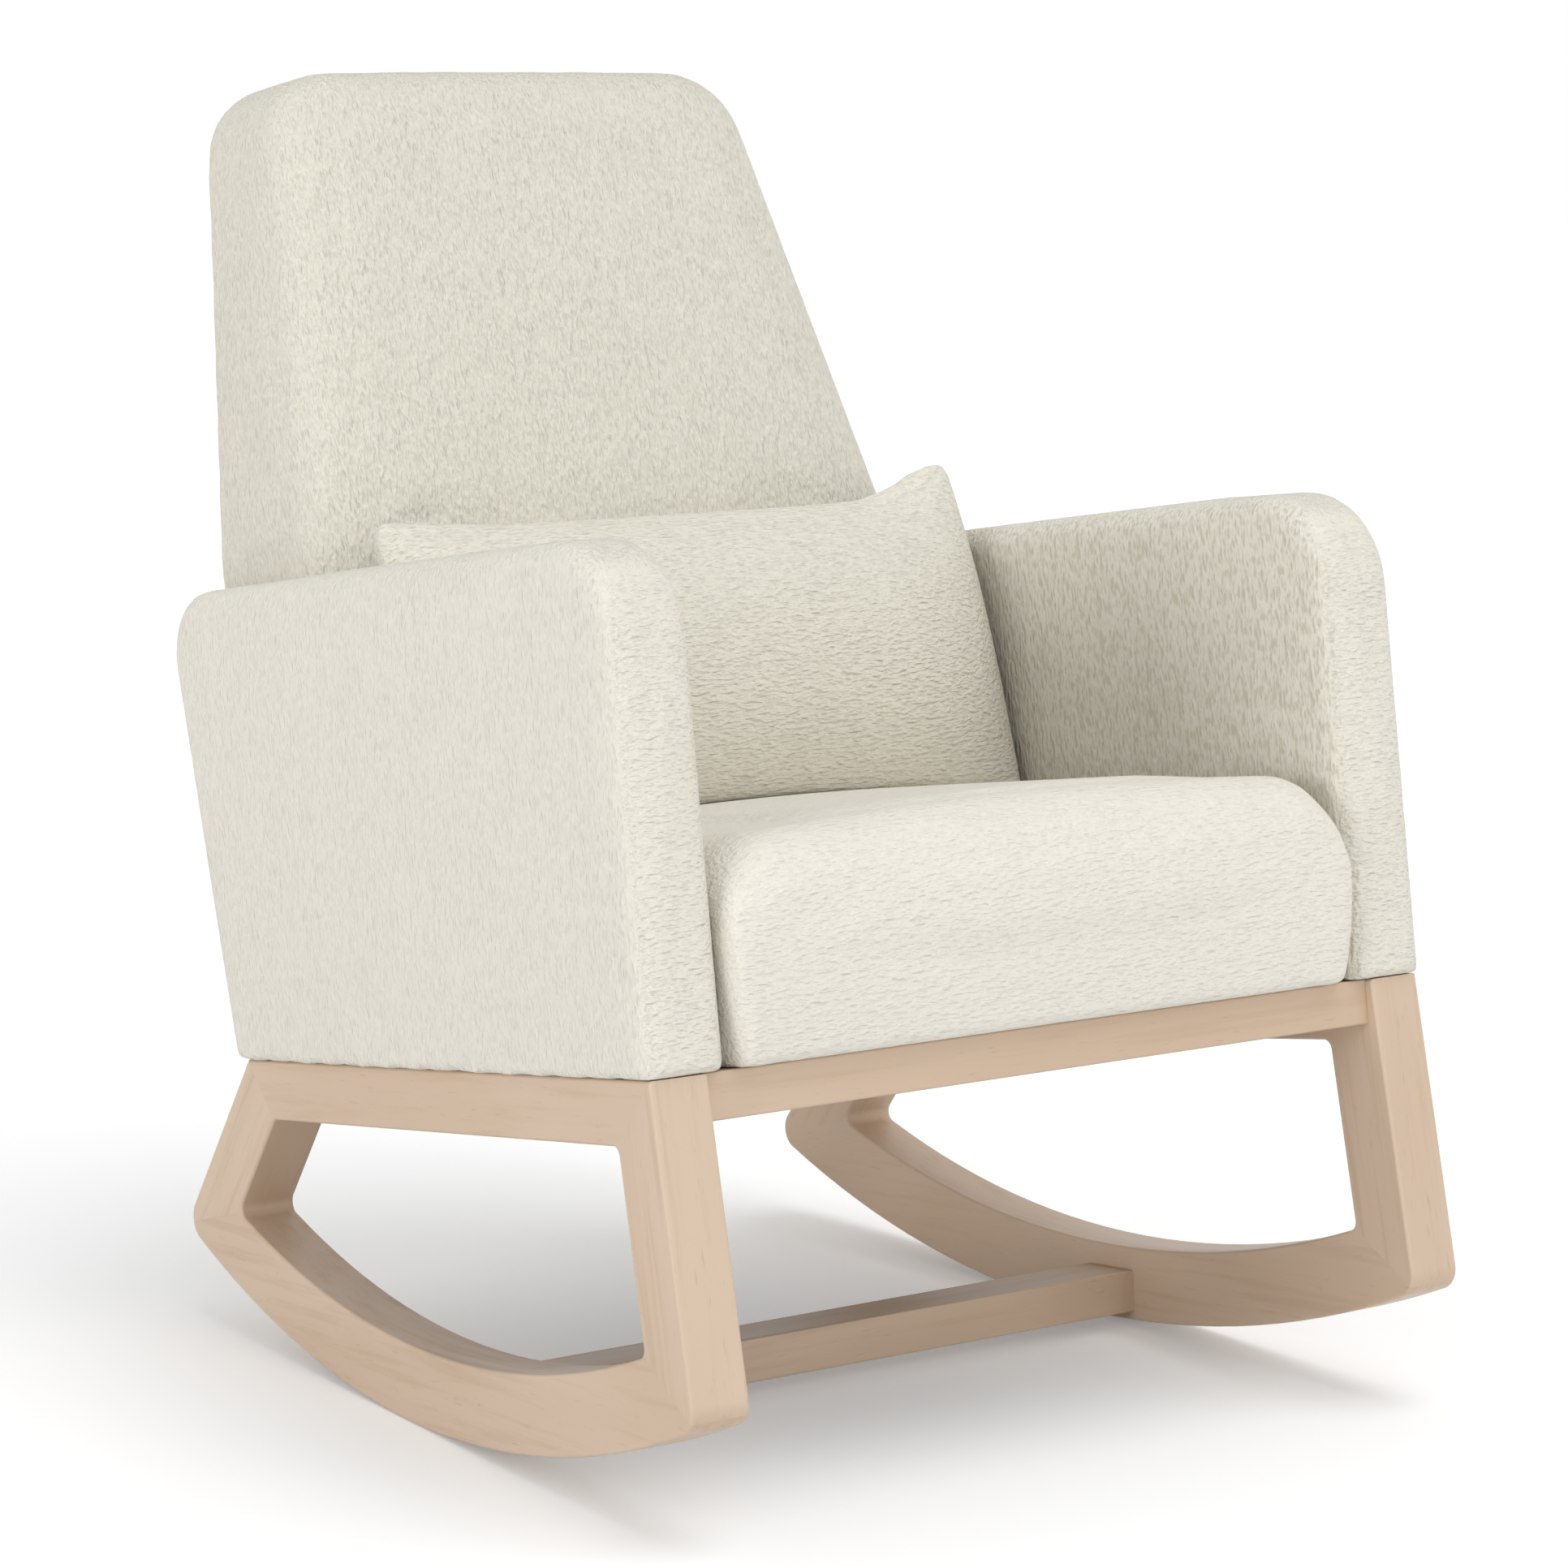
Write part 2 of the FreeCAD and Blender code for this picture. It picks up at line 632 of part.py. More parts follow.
# Upholstered forms. Each is built at an inset, so that a cover and its filling follow the same outline.


def along_x(outline, half):
    """Prism of an outline in the YZ plane, to both sides of the middle."""
    return Part.Face(outline).extrude(Vector(2 * half, 0, 0)).translate(Vector(-half, 0, 0))


def along_y(outline, half):
    """Prism of an outline in the XZ plane, far enough to both ends."""
    return Part.Face(outline).extrude(Vector(0, 2 * half, 0)).translate(Vector(0, -half, 0))


def arm_rear(z):
    """Rear edge of an arm."""
    return Size.arm_rear_foot + (z - Size.rail_top) * tan(Size.arm_rear_lean)


def arm_outline(inset, bottom):
    """Side view of an arm."""
    front = -Size.frame_front - Size.fabric_overhang + inset
    top = Size.arm_top - inset
    slant = inset / cos(Size.arm_rear_lean)
    points = [
        Vector(0, front, bottom),
        Vector(0, arm_rear(bottom) - slant, bottom),
        Vector(0, arm_rear(top) - slant, top),
        Vector(0, front, top),
    ]
    return rounded_outline(points, [0, 0, Size.arm_rear_round - inset, Size.arm_front_round - inset])


def arm_form(inset, bottom):
    """Right arm: flat inside, slightly crowned outside, with softly rounded edges."""
    inner = arm_inside() + inset
    near = -Size.frame_front - 2 * Size.fabric_overhang
    far = arm_rear(Size.arm_top) + Size.fabric_overhang
    middle = (near + far) / 2
    start = Vector(arm_outside(near) - inset, near, bottom - 1)
    bulge = Vector(arm_outside(middle) + Size.arm_crown - inset, middle, bottom - 1)
    end = Vector(arm_outside(far) - inset, far, bottom - 1)
    first = Vector(inner, near, bottom - 1)
    last = Vector(inner, far, bottom - 1)
    plan = Part.Wire([
        Part.LineSegment(first, start).toShape(),
        Part.Arc(start, bulge, end).toShape(),
        Part.LineSegment(end, last).toShape(),
        Part.LineSegment(last, first).toShape(),
    ])
    column = Part.Face(plan).extrude(Vector(0, 0, Size.arm_top))
    form = crossed(along_x(arm_outline(inset, bottom), Size.base_width), column)
    thin = arm_outside(far) - arm_inside()
    radius = min(Size.arm_edge_round, 0.46 * thin) - inset

    def padded_edge(edge):
        ends = [vertex.X - inner for vertex in edge.Vertexes]
        same_face = all(x < 0.01 for x in ends) or all(x > thin / 3 for x in ends)
        return same_face and middle_of(edge).z > bottom + 0.01

    return soften(form, radius, padded_edge)


def arm_panel(grow):
    """Right arm's plywood panel with its cut-out, or the pocket for it when grown."""
    x = arm_inside() + Size.panel_skin - grow
    thick = Vector(Size.panel_thick + 2 * grow, 0, 0)
    foot = Size.rail_top - grow
    outer = arm_outline(Size.panel_inset - grow, foot)
    border = Size.panel_inset + Size.panel_border + grow
    hole = arm_outline(border, Size.rail_top + Size.panel_border + grow)
    sheet = Part.Face(outer).extrude(thick)
    window = Part.Face(hole).extrude(thick)
    return sheet.cut(window).translate(Vector(x, 0, 0))


def mirrored(shape):
    return shape.mirror(Vector(0, 0, 0), Vector(1, 0, 0))


def make_arms(doc, spots):
    bottom = Size.rail_top + Size.soft_gap
    within = Size.cover_thick + Size.soft_gap
    cover = arm_form(0, bottom).cut(arm_form(Size.cover_thick, bottom - Size.cover_thick))
    foam = arm_form(within, bottom).cut(arm_panel(Size.soft_gap))
    panel = arm_panel(0)
    made = {}
    for hand, side in BOTH_SIDES:
        turned = mirrored if side < 0 else Part.Shape.copy
        made[f"arm_cover_{hand}"] = solid(doc, f"arm_cover_{hand}", turned(cover))
        made[f"arm_foam_{hand}"] = solid(doc, f"arm_foam_{hand}", turned(foam))
        name = f"arm_frame_{hand}"
        blank = solid(doc, f"{name}_form", turned(panel))
        made[name] = drilled(doc, name, blank, bolt_holes(doc, f"{name}_holes", spots[name]))
    return made


def back_face_prism(inset, bottom):
    """Everything behind the back's crowned front face."""
    half = arm_inside()
    radius = (half * half + Size.back_crown ** 2) / (2 * Size.back_crown)
    front = back_front(bottom) + inset / cos(Size.back_front_lean)
    middle = front - Size.back_crown
    wide = half + Size.arm_thick
    edge = middle + radius - math.sqrt(radius * radius - wide * wide)
    far = Size.back_rear_foot + Size.back_top
    left, right = Vector(-wide, edge, bottom), Vector(wide, edge, bottom)
    plan = Part.Wire([
        Part.Arc(left, Vector(0, middle, bottom), right).toShape(),
        Part.LineSegment(right, Vector(wide, far, bottom)).toShape(),
        Part.LineSegment(Vector(wide, far, bottom), Vector(-wide, far, bottom)).toShape(),
        Part.LineSegment(Vector(-wide, far, bottom), left).toShape(),
    ])
    rise = Size.back_top
    return Part.Face(plan).extrude(Vector(0, rise * tan(Size.back_front_lean), rise))


def back_half(z):
    """Half width of the back: straight between the arms, narrowing above them."""
    low = arm_inside() - Size.soft_gap
    share = max(0.0, (z - Size.back_shoulder) / (Size.back_top - Size.back_shoulder))
    return low + (Size.back_top_half - low) * share


def back_outline(inset, bottom):
    """Front view of the back, narrowing to a top with rounded corners."""
    top = Size.back_top - inset
    low = back_half(Size.rail_top) - inset
    high = back_half(top) - inset
    shoulder = Size.back_shoulder
    points = [(-low, bottom), (low, bottom), (low, shoulder), (high, top), (-high, top), (-low, shoulder)]
    corner = Size.back_corner_round - inset
    bend = Size.back_shoulder_round
    return rounded_outline([Vector(x, 0, z) for x, z in points], [0, 0, bend, corner, corner, bend])


def back_form(inset, bottom):
    """The padded back, leaning, with its front edges rounded more than its rear ones."""
    slant = inset / cos(Size.back_rear_lean)
    above = Size.back_top * 1.1
    side = [
        Vector(0, -Size.back_top, bottom),
        Vector(0, back_rear(bottom) - slant, bottom),
        Vector(0, back_rear(above) - slant, above),
        Vector(0, -Size.back_top, above),
    ]
    ahead = along_x(Part.makePolygon(side + side[:1]), Size.base_width)
    view = along_y(back_outline(inset, bottom), 2 * Size.back_top)
    form = crossed(view, back_face_prism(inset, bottom), ahead)

    def near_front(edge):
        point = middle_of(edge)
        return point.z > bottom + 0.01 and all(front_depth(v.Point, inset) < 0.5 for v in edge.Vertexes)

    def near_rear(edge):
        gap = [abs(v.Y - back_rear(v.Z) + slant) for v in edge.Vertexes]
        return middle_of(edge).z > bottom + 0.01 and max(gap) < 0.01

    form = soften(form, Size.back_front_round - inset, near_front)
    return soften(form, Size.back_rear_round - inset, near_rear)


def front_depth(point, inset):
    """How far a point lies from the back's crowned front face, front to back."""
    half = arm_inside()
    radius = (half * half + Size.back_crown ** 2) / (2 * Size.back_crown)
    sag = radius - math.sqrt(radius * radius - point.x ** 2)
    face = back_front(point.z) + inset / cos(Size.back_front_lean) - Size.back_crown + sag
    return abs(point.y - face)


def side_prism(points):
    """Prism of a side view (y, z), as wide as the chair."""
    corners = [Vector(0, y, z) for y, z in points]
    return along_x(Part.makePolygon(corners + corners[:1]), Size.base_width)


def front_prism(points):
    """Prism of a front view (x, z), as deep as the chair."""
    corners = [Vector(x, 0, z) for x, z in points]
    return along_y(Part.makePolygon(corners + corners[:1]), 2 * Size.back_top)


def back_section(low, high, front_step, rear_step):
    """Side view between the back's front and rear faces, each moved inwards by its own step."""
    return [
        (back_front(low) + front_step, low),
        (back_rear(low) - rear_step, low),
        (back_rear(high) - rear_step, high),
        (back_front(high) + front_step, high),
    ]


def make_back_frame(doc, spots):
    """Hoop of two posts and a top rail that follows the back's outline, with a bottom rail between."""
    foot = Size.rail_top
    head = Size.back_top
    split = head - 1.2 * Size.back_corner_round
    deep = 2 * head
    hoop = along_y(back_outline(Size.back_skin, foot), deep)
    inside = along_y(back_outline(Size.back_skin + Size.post_width, foot - Size.post_width), deep)
    hoop = hoop.cut(inside).common(side_prism(back_section(foot, head, Size.back_pad, Size.back_skin)))
    wide = Size.base_width
    regions = {
        "back_post_left": [(-wide, foot), (0, foot), (0, split), (-wide, split)],
        "back_post_right": [(0, foot), (wide, foot), (wide, split), (0, split)],
        "back_top_rail": [(-wide, split), (wide, split), (wide, head), (-wide, head)],
    }
    made = {}
    for name, region in regions.items():
        made[name] = solid(doc, name, crossed(hoop, front_prism(region)))

    over = foot + Size.back_rail_height
    width = back_half(foot) - Size.back_skin - Size.post_width
    near = Size.back_skin + Size.back_rail_thick
    view = [(-width, foot), (width, foot), (width, over), (-width, over)]
    steps = ((foot, near), (foot, Size.back_skin), (over, Size.back_skin), (over, near))
    side = [(back_rear(z) - step, z) for z, step in steps]
    blank = solid(doc, "back_bottom_rail_form", crossed(front_prism(view), side_prism(side)))
    holes = bolt_holes(doc, "back_bottom_rail_holes", spots["back_bottom_rail"])
    made["back_bottom_rail"] = drilled(doc, "back_bottom_rail", blank, holes)
    return made


def make_back_webbing(doc):
    """Straps across the front of the posts, behind the padding."""
    first = Size.rail_top + Size.back_rail_height
    last = Size.back_top - 2 * Size.back_corner_round
    count = 6
    straps = []
    for i in range(count):
        low = first + (last - first - Size.strap_width) * i / (count - 1)
        high = low + Size.strap_width
        reach = back_half(high) - Size.back_skin - Size.strap_thick
        view = [(-reach, low), (reach, low), (reach, high), (-reach, high)]
        steps = ((low, Size.strap_thick), (low, 0), (high, 0), (high, Size.strap_thick))
        side = [(back_front(z) + Size.back_pad - step, z) for z, step in steps]
        straps.append(solid(doc, f"back_strap_{i}", crossed(front_prism(view), side_prism(side))))
    return group(doc, "back_webbing", straps)


def make_back_padding(doc):
    """Fabric cover, and padding that leaves a hollow for the frame and its webbing."""
    bottom = Size.rail_top + Size.soft_gap
    gap = Size.soft_gap
    below = Size.rail_top - Size.back_skin
    cover = back_form(0, bottom).cut(back_form(Size.cover_thick, bottom - Size.cover_thick))
    behind = Size.back_pad - Size.strap_thick - gap
    section = side_prism(back_section(below, Size.back_top, behind, Size.back_skin - gap))
    hollow = crossed(along_y(back_outline(Size.back_skin - gap, below), 2 * Size.back_top), section)
    foam = back_form(Size.cover_thick + gap, bottom).cut(hollow)
    return {"back_cover": solid(doc, "back_cover", cover), "back_foam": solid(doc, "back_foam", foam)}


def seat_face(inset, bottom):
    """Front view of the seat: straight sides, rounded upper edges and a crowned top, all tangent."""
    half = arm_inside() - Size.soft_gap - inset
    chord = arm_inside()
    radius = (chord * chord + Size.seat_crown ** 2) / (2 * Size.seat_crown)
    centre = Vector(0, 0, Size.seat_top + Size.seat_crown - radius)
    radius -= inset
    bend = Size.seat_side_round - inset
    x = half - bend
    corner = centre + Vector(x, 0, math.sqrt((radius - bend) ** 2 - x * x))
    outward = (corner - centre).normalize()
    meet = centre + outward * radius
    slant = (outward + Vector(1, 0, 0)).normalize()
    side = corner + Vector(bend, 0, 0)
    arc_middle = corner + slant * bend

    def flip(p):
        return Vector(-p.x, p.y, p.z)

    foot = Vector(half, 0, bottom)
    return Part.Wire([
        Part.LineSegment(flip(foot), foot).toShape(),
        Part.LineSegment(foot, side).toShape(),
        Part.Arc(side, arc_middle, meet).toShape(),
        Part.Arc(meet, centre + Vector(0, 0, radius), flip(meet)).toShape(),
        Part.Arc(flip(meet), flip(arc_middle), flip(side)).toShape(),
        Part.LineSegment(flip(side), flip(foot)).toShape(),
    ])


def seat_form(inset, bottom):
    """The padded seat, with a bulging front that rolls over into the top."""
    front = -Size.frame_front - Size.fabric_overhang + inset
    above = Size.seat_top + 2 * Size.seat_crown
    far = Size.back_rear_foot
    low = Vector(0, front, bottom)
    belly = Vector(0, front - Size.seat_bulge, (bottom + above) / 2)
    high = Vector(0, front - Size.seat_bulge / 2, above)
    side = Part.Wire([
        Part.Arc(low, belly, high).toShape(),
        Part.LineSegment(high, Vector(0, far, above)).toShape(),
        Part.LineSegment(Vector(0, far, above), Vector(0, far, bottom)).toShape(),
        Part.LineSegment(Vector(0, far, bottom), low).toShape(),
    ])
    form = crossed(along_x(side, Size.base_width), along_y(seat_face(inset, bottom), Size.back_top))

    def front_edge(edge):
        return middle_of(edge).y < front + 0.01 and middle_of(edge).z > bottom + 0.01

    form = soften(form, Size.seat_front_round - inset, front_edge)
    return form.cut(back_face_prism(-Size.soft_gap - inset, bottom - Size.seat_top / 4)).Solids[0]


def make_seat(doc):
    bottom = Size.rail_top + Size.soft_gap
    gap = Size.soft_gap
    half, front, _ = seat_frame_box()
    high = Size.seat_frame_height + Size.seat_deck_thick + gap
    corner = Vector(-half - gap, front - gap, Size.rail_top)
    pocket = Part.makeBox(2 * (half + gap), Size.back_rear_foot - front, high, corner)
    cover = seat_form(0, bottom).cut(seat_form(Size.cover_thick, bottom - Size.cover_thick))
    foam = seat_form(Size.cover_thick + gap, bottom).cut(pocket)
    return {"seat_cover": solid(doc, "seat_cover", cover), "seat_foam": solid(doc, "seat_foam", foam)}


# Loose pillow: a lens from front to back, pinched to a seam all round, with its top corners standing up.


def pillow_section(inset, share):
    """Outline of the pillow at a share of its half width from the middle."""
    x = share * (arm_inside() - Size.pillow_side_gap - inset)
    far = abs(share)
    edge = Size.pillow_edge / 2 - inset
    foot = -Size.pillow_height / 2 + inset
    head = Size.pillow_height / 2 + Size.pillow_ear * far ** 5 - inset
    full = edge + (Size.pillow_thick - Size.pillow_edge) / 2 * (1 - far ** 3) ** 0.6
    middle = (foot + head) / 2
    belly = max(full, edge + 1)
    front_foot, front_head = Vector(x, -edge, foot), Vector(x, -edge, head)
    rear_foot, rear_head = Vector(x, edge, foot), Vector(x, edge, head)
    return Part.Wire([
        Part.LineSegment(rear_foot, front_foot).toShape(),
        Part.Arc(front_foot, Vector(x, -belly, middle), front_head).toShape(),
        Part.LineSegment(front_head, rear_head).toShape(),
        Part.Arc(rear_head, Vector(x, belly, middle), rear_foot).toShape(),
    ])


def pillow_form(inset):
    shares = (-1, -0.93, -0.8, -0.6, -0.3, 0, 0.3, 0.6, 0.8, 0.93, 1)
    return Part.makeLoft([pillow_section(inset, share) for share in shares], True, False)


def pillow_place():
    """The pillow stands on the seat and leans against the back."""
    lean = Size.back_front_lean
    up = math.radians(lean)
    seat = Size.seat_top + Size.seat_crown + Size.pillow_gap
    z = seat + Size.pillow_height / 2 * math.cos(up) + Size.pillow_edge / 2 * math.sin(up)
    behind = (Size.pillow_thick / 2 + Size.pillow_gap) / math.cos(up)
    y = back_front(z) - Size.back_crown - behind
    return Placement(Vector(0, y, z), Rotation(Vector(1, 0, 0), -lean))


def make_pillow(doc):
    place = pillow_place()
    cover = pillow_form(0).cut(pillow_form(Size.cover_thick))
    fill = pillow_form(Size.cover_thick + Size.soft_gap)
    made = {}
    for name, shape in (("pillow_cover", cover), ("pillow_fill", fill)):
        made[name] = solid(doc, name, shape)
        made[name].Placement = place
    return made


# The whole chair.


def make_base(doc, spots):
    """Side frames, cross rails, dowels and bolts."""
    at = frame_corners()
    form = make_frame_form(doc, at)
    made = {}
    rail_holes = {name: [] for name in cross_joints()}
    rail_dowels = []
    stretcher_dowels = []
    for hand, side in BOTH_SIDES:
        place = side_place(side)
        holes = []
        pegs = []
        for i, (start, direction) in enumerate(mitre_pegs(at, side)):
            pegs.append(dowel(doc, f"mitre_dowel_{hand}_{i}", start, direction))
            holes.append(dowel_hole(doc, f"mitre_hole_{hand}_{i}", start, direction))
        for i, (rail, start, direction) in enumerate(cross_pegs(side)):
            holes.append(dowel_hole(doc, f"frame_hole_{hand}_{i}", start, direction))
            through = place.Rotation.multVec(direction)
            peg_start = place.multVec(start)
            rail_holes[rail].append(dowel_hole(doc, f"rail_hole_{hand}_{i}", peg_start, through))
            made_dowels = stretcher_dowels if rail == "stretcher" else rail_dowels
            made_dowels.append(dowel(doc, f"rail_dowel_{hand}_{i}", peg_start, through))
        for i, (x, y, height) in enumerate(spots[f"arm_frame_{hand}"]):
            spot = place.inverse().multVec(under_rail(x, y, height))
            holes.append(bolt_hole(doc, f"arm_rail_hole_{hand}_{i}", spot, height))
        tool = group(doc, f"frame_holes_{hand}", holes)
        for timber, corners in TIMBERS.items():
            region = solid(doc, f"{timber}_{hand}_region", timber_region(at, corners))
            blank = doc.addObject("Part::Common", f"{timber}_{hand}_blank")
            blank.Base = form
            blank.Tool = region
            made[f"{timber}_{hand}"] = drilled(doc, f"{timber}_{hand}", blank, tool)
            made[f"{timber}_{hand}"].Placement = place
        made[f"frame_dowels_{hand}"] = group(doc, f"frame_dowels_{hand}", pegs)
        made[f"frame_dowels_{hand}"].Placement = place

    heights = {
        "front_rail": "front_rail_height",
        "middle_rail": "middle_rail_height",
        "rear_rail": "rear_rail_height",
    }
    bolted = {
        "front_rail": spots["seat_frame_front"],
        "middle_rail": spots["seat_frame_rear"],
        "rear_rail": spots["back_bottom_rail"],
    }
    for rail, height in heights.items():
        through = [
            bolt_hole(doc, f"{rail}_bolt_hole_{i}", under_rail(x, y, named), named)
            for i, (x, y, named) in enumerate(bolted[rail])
        ]
        tool = group(doc, f"{rail}_holes", rail_holes[rail] + through)
        made[rail] = make_cross_rail(doc, rail, height, tool)
    made["stretcher"] = make_stretcher(doc, group(doc, "stretcher_holes", rail_holes["stretcher"]))
    made["rail_dowels"] = group(doc, "rail_dowels", rail_dowels)
    made["stretcher_dowels"] = group(doc, "stretcher_dowels", stretcher_dowels)
    made["corner_blocks"] = make_corner_blocks(doc)
    return made


def make_bolts(doc, spots):
    held = {
        "seat_bolts": ("seat_frame_front", "seat_frame_rear"),
        "arm_bolts": ("arm_frame_left", "arm_frame_right"),
        "back_bolts": ("back_bottom_rail",),
    }
    made = {}
    for name, pieces in held.items():
        rows = [row for piece in pieces for row in spots[piece]]
        made[name] = group(doc, name, [
            bolt(doc, f"{name}_{i}", under_rail(x, y, height), height)
            for i, (x, y, height) in enumerate(rows)
        ])
    return made


def build():
    doc = FreeCAD.newDocument("RockingChair")
    make_sheet(doc)
    spots = bolt_spots()
    nodes = make_base(doc, spots)
    nodes.update(make_bolts(doc, spots))
    nodes.update(make_seat_frame(doc, spots))
    nodes["seat_deck"] = make_seat_deck(doc)
    nodes["dust_cover"] = make_dust_cover(doc)
    nodes.update(make_arms(doc, spots))
    nodes.update(make_back_frame(doc, spots))
    nodes["back_webbing"] = make_back_webbing(doc)
    nodes.update(make_back_padding(doc))
    nodes.update(make_seat(doc))
    nodes.update(make_pillow(doc))
    lean = chair_lean()
    for name, piece in nodes.items():
        piece.Placement = lean.multiply(piece.Placement)
        piece.Label = name
    doc.recompute()
    return doc, nodes


def export(doc, nodes):
    for feature in doc.Objects:
        if "Invalid" in feature.State or "Error" in feature.State:
            raise RuntimeError(f"{feature.Name} did not compute")
    os.makedirs(OUT_FOLDER, exist_ok=True)
    for name, piece in nodes.items():
        if piece.Shape.isNull() or not piece.Shape.isValid():
            raise RuntimeError(f"{name} has no valid shape")
        piece.Shape.exportStep(os.path.join(OUT_FOLDER, f"{name}.step"))


document, pieces = build()
export(document, pieces)
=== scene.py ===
# %% [markdown]
# # An upholstered rocking chair
# A cream boucle armchair on a pale maple base. Two side frames, each a closed loop of rail, legs and a
# curved runner, carry the padded seat, arms and back, and a loose lumbar pillow stands on the seat.
# The wooden pieces arrive finished from CAD and only need a finish. The padded pieces arrive as plain
# solids, so each one gets a soft skin of its own here.

import math

import bpy
from mathutils import Matrix, Vector
from mathutils.bvhtree import BVHTree


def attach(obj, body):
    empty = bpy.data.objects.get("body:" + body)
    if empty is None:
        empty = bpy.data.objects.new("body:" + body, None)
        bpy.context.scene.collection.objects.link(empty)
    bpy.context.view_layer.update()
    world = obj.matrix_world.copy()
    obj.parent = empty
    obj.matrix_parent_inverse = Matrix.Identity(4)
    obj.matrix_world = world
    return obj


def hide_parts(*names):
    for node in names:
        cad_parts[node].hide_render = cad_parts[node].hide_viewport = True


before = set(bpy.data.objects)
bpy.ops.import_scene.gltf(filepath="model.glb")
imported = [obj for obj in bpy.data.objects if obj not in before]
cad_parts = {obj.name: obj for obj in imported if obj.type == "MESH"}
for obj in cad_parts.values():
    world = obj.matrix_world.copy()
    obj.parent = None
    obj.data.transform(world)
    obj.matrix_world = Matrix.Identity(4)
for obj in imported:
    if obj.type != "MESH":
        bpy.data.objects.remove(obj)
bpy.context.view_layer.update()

# %% [markdown]
# ## Camera
# The photograph looks at the chair from its front left, from a little above the arms, with a long lens.
# A camera could be turned by hand until the outlines agree. Here its numbers come from fitting the corners
# of the base, so the camera is placed on a ray from a target point and aimed back at it.

# %% Place the camera
PHOTO_PIXELS = 1932
FOCAL_PIXELS = 5876.7
SENSOR_MM = 36
VIEW_AZIMUTH = math.radians(-34.65)
VIEW_ELEVATION = math.radians(8.52)
VIEW_DISTANCE = 3.7161
VIEW_TARGET = Vector((0, -0.0263, 0.4618))

towards_camera = Vector((
    math.sin(VIEW_AZIMUTH) * math.cos(VIEW_ELEVATION),
    -math.cos(VIEW_AZIMUTH) * math.cos(VIEW_ELEVATION),
    math.sin(VIEW_ELEVATION),
))
bpy.ops.object.select_all(action="DESELECT")
bpy.ops.object.camera_add(location=VIEW_TARGET + towards_camera * VIEW_DISTANCE)
camera = bpy.context.object
camera.name = "photo_camera"
camera.data.sensor_width = SENSOR_MM
camera.data.lens = FOCAL_PIXELS * SENSOR_MM / PHOTO_PIXELS
camera.rotation_euler = (-towards_camera).to_track_quat("-Z", "Y").to_euler()
bpy.context.scene.camera = camera
print("lens", round(camera.data.lens, 1), "mm at", [round(v, 3) for v in camera.location])

# %% [markdown]
# ## Studio
# The chair stands on white paper under soft, even light. More light would turn the background white, but it
# would also bleach the pale fabric. So a Light Path node makes the background white only where it is looked
# at, directly, in gloss or through glass. The floor is a diffuse sheet, which keeps the shadow, with a faint
# glow of the same kind. Area lamps near the chair would fall off across the floor, so the lamps are wide
# suns: from above, from low on the left and from the front.

# %% Light the studio
scene = bpy.context.scene
scene.view_settings.view_transform = "Standard"
AMBIENT = 0.6
WHITE = (1, 1, 1, 1)


def seen_directly(nodes, links):
    """1 for rays that show the backdrop: from the camera, in gloss or through glass."""
    path = nodes.new("ShaderNodeLightPath")
    total = path.outputs["Is Camera Ray"]
    for ray in ("Is Glossy Ray", "Is Transmission Ray"):
        add = nodes.new("ShaderNodeMath")
        add.operation = "MAXIMUM"
        links.new(total, add.inputs[0])
        links.new(path.outputs[ray], add.inputs[1])
        total = add.outputs[0]
    return total


world = bpy.data.worlds.new("white_studio")
scene.world = world
world.use_nodes = True
nodes, links = world.node_tree.nodes, world.node_tree.links
nodes.clear()
ambient = nodes.new("ShaderNodeBackground")
ambient.inputs["Color"].default_value = WHITE
ambient.inputs["Strength"].default_value = AMBIENT
white = nodes.new("ShaderNodeBackground")
white.inputs["Color"].default_value = WHITE
mix = nodes.new("ShaderNodeMixShader")
output = nodes.new("ShaderNodeOutputWorld")
links.new(seen_directly(nodes, links), mix.inputs[0])
links.new(ambient.outputs[0], mix.inputs[1])
links.new(white.outputs[0], mix.inputs[2])
links.new(mix.outputs[0], output.inputs["Surface"])


def far_softbox(name, place, spread, strength):
    """A wide lamp so far away that it lights the whole floor evenly, from the side of a point."""
    bpy.ops.object.light_add(type="SUN", location=place)
    lamp = bpy.context.object
    lamp.name = name
    lamp.data.angle = math.radians(spread)
    lamp.data.energy = strength
    lamp.rotation_euler = (-Vector(place)).to_track_quat("-Z", "Y").to_euler()


far_softbox("key_softbox", (0.5, -1.0, 3.0), spread=40, strength=1.0)
far_softbox("left_softbox", (-3.0, -0.4, 0.15), spread=25, strength=1.5)
far_softbox("front_softbox", (0.5, -3.0, 1.0), spread=30, strength=0.6)

# %% Lay the floor
FLOOR_SIZE = 40
FLOOR_DROP = 0.0006
FLOOR_GLOW = 0.2
PAPER_WHITE = (0.89, 0.897, 0.902, 1)
bpy.ops.mesh.primitive_plane_add(size=FLOOR_SIZE, location=(0, 0, -FLOOR_DROP))
floor = bpy.context.object
floor.name = "floor_paper"
paper = bpy.data.materials.new("white_paper")
paper.use_nodes = True
nodes, links = paper.node_tree.nodes, paper.node_tree.links
nodes.clear()
diffuse = nodes.new("ShaderNodeBsdfDiffuse")
diffuse.inputs["Color"].default_value = PAPER_WHITE
glow = nodes.new("ShaderNodeEmission")
glow.inputs["Color"].default_value = WHITE
lift = nodes.new("ShaderNodeMath")
lift.operation = "MULTIPLY"
lift.inputs[1].default_value = FLOOR_GLOW
add = nodes.new("ShaderNodeAddShader")
output = nodes.new("ShaderNodeOutputMaterial")
links.new(seen_directly(nodes, links), lift.inputs[0])
links.new(lift.outputs[0], glow.inputs["Strength"])
links.new(diffuse.outputs[0], add.inputs[0])
links.new(glow.outputs[0], add.inputs[1])
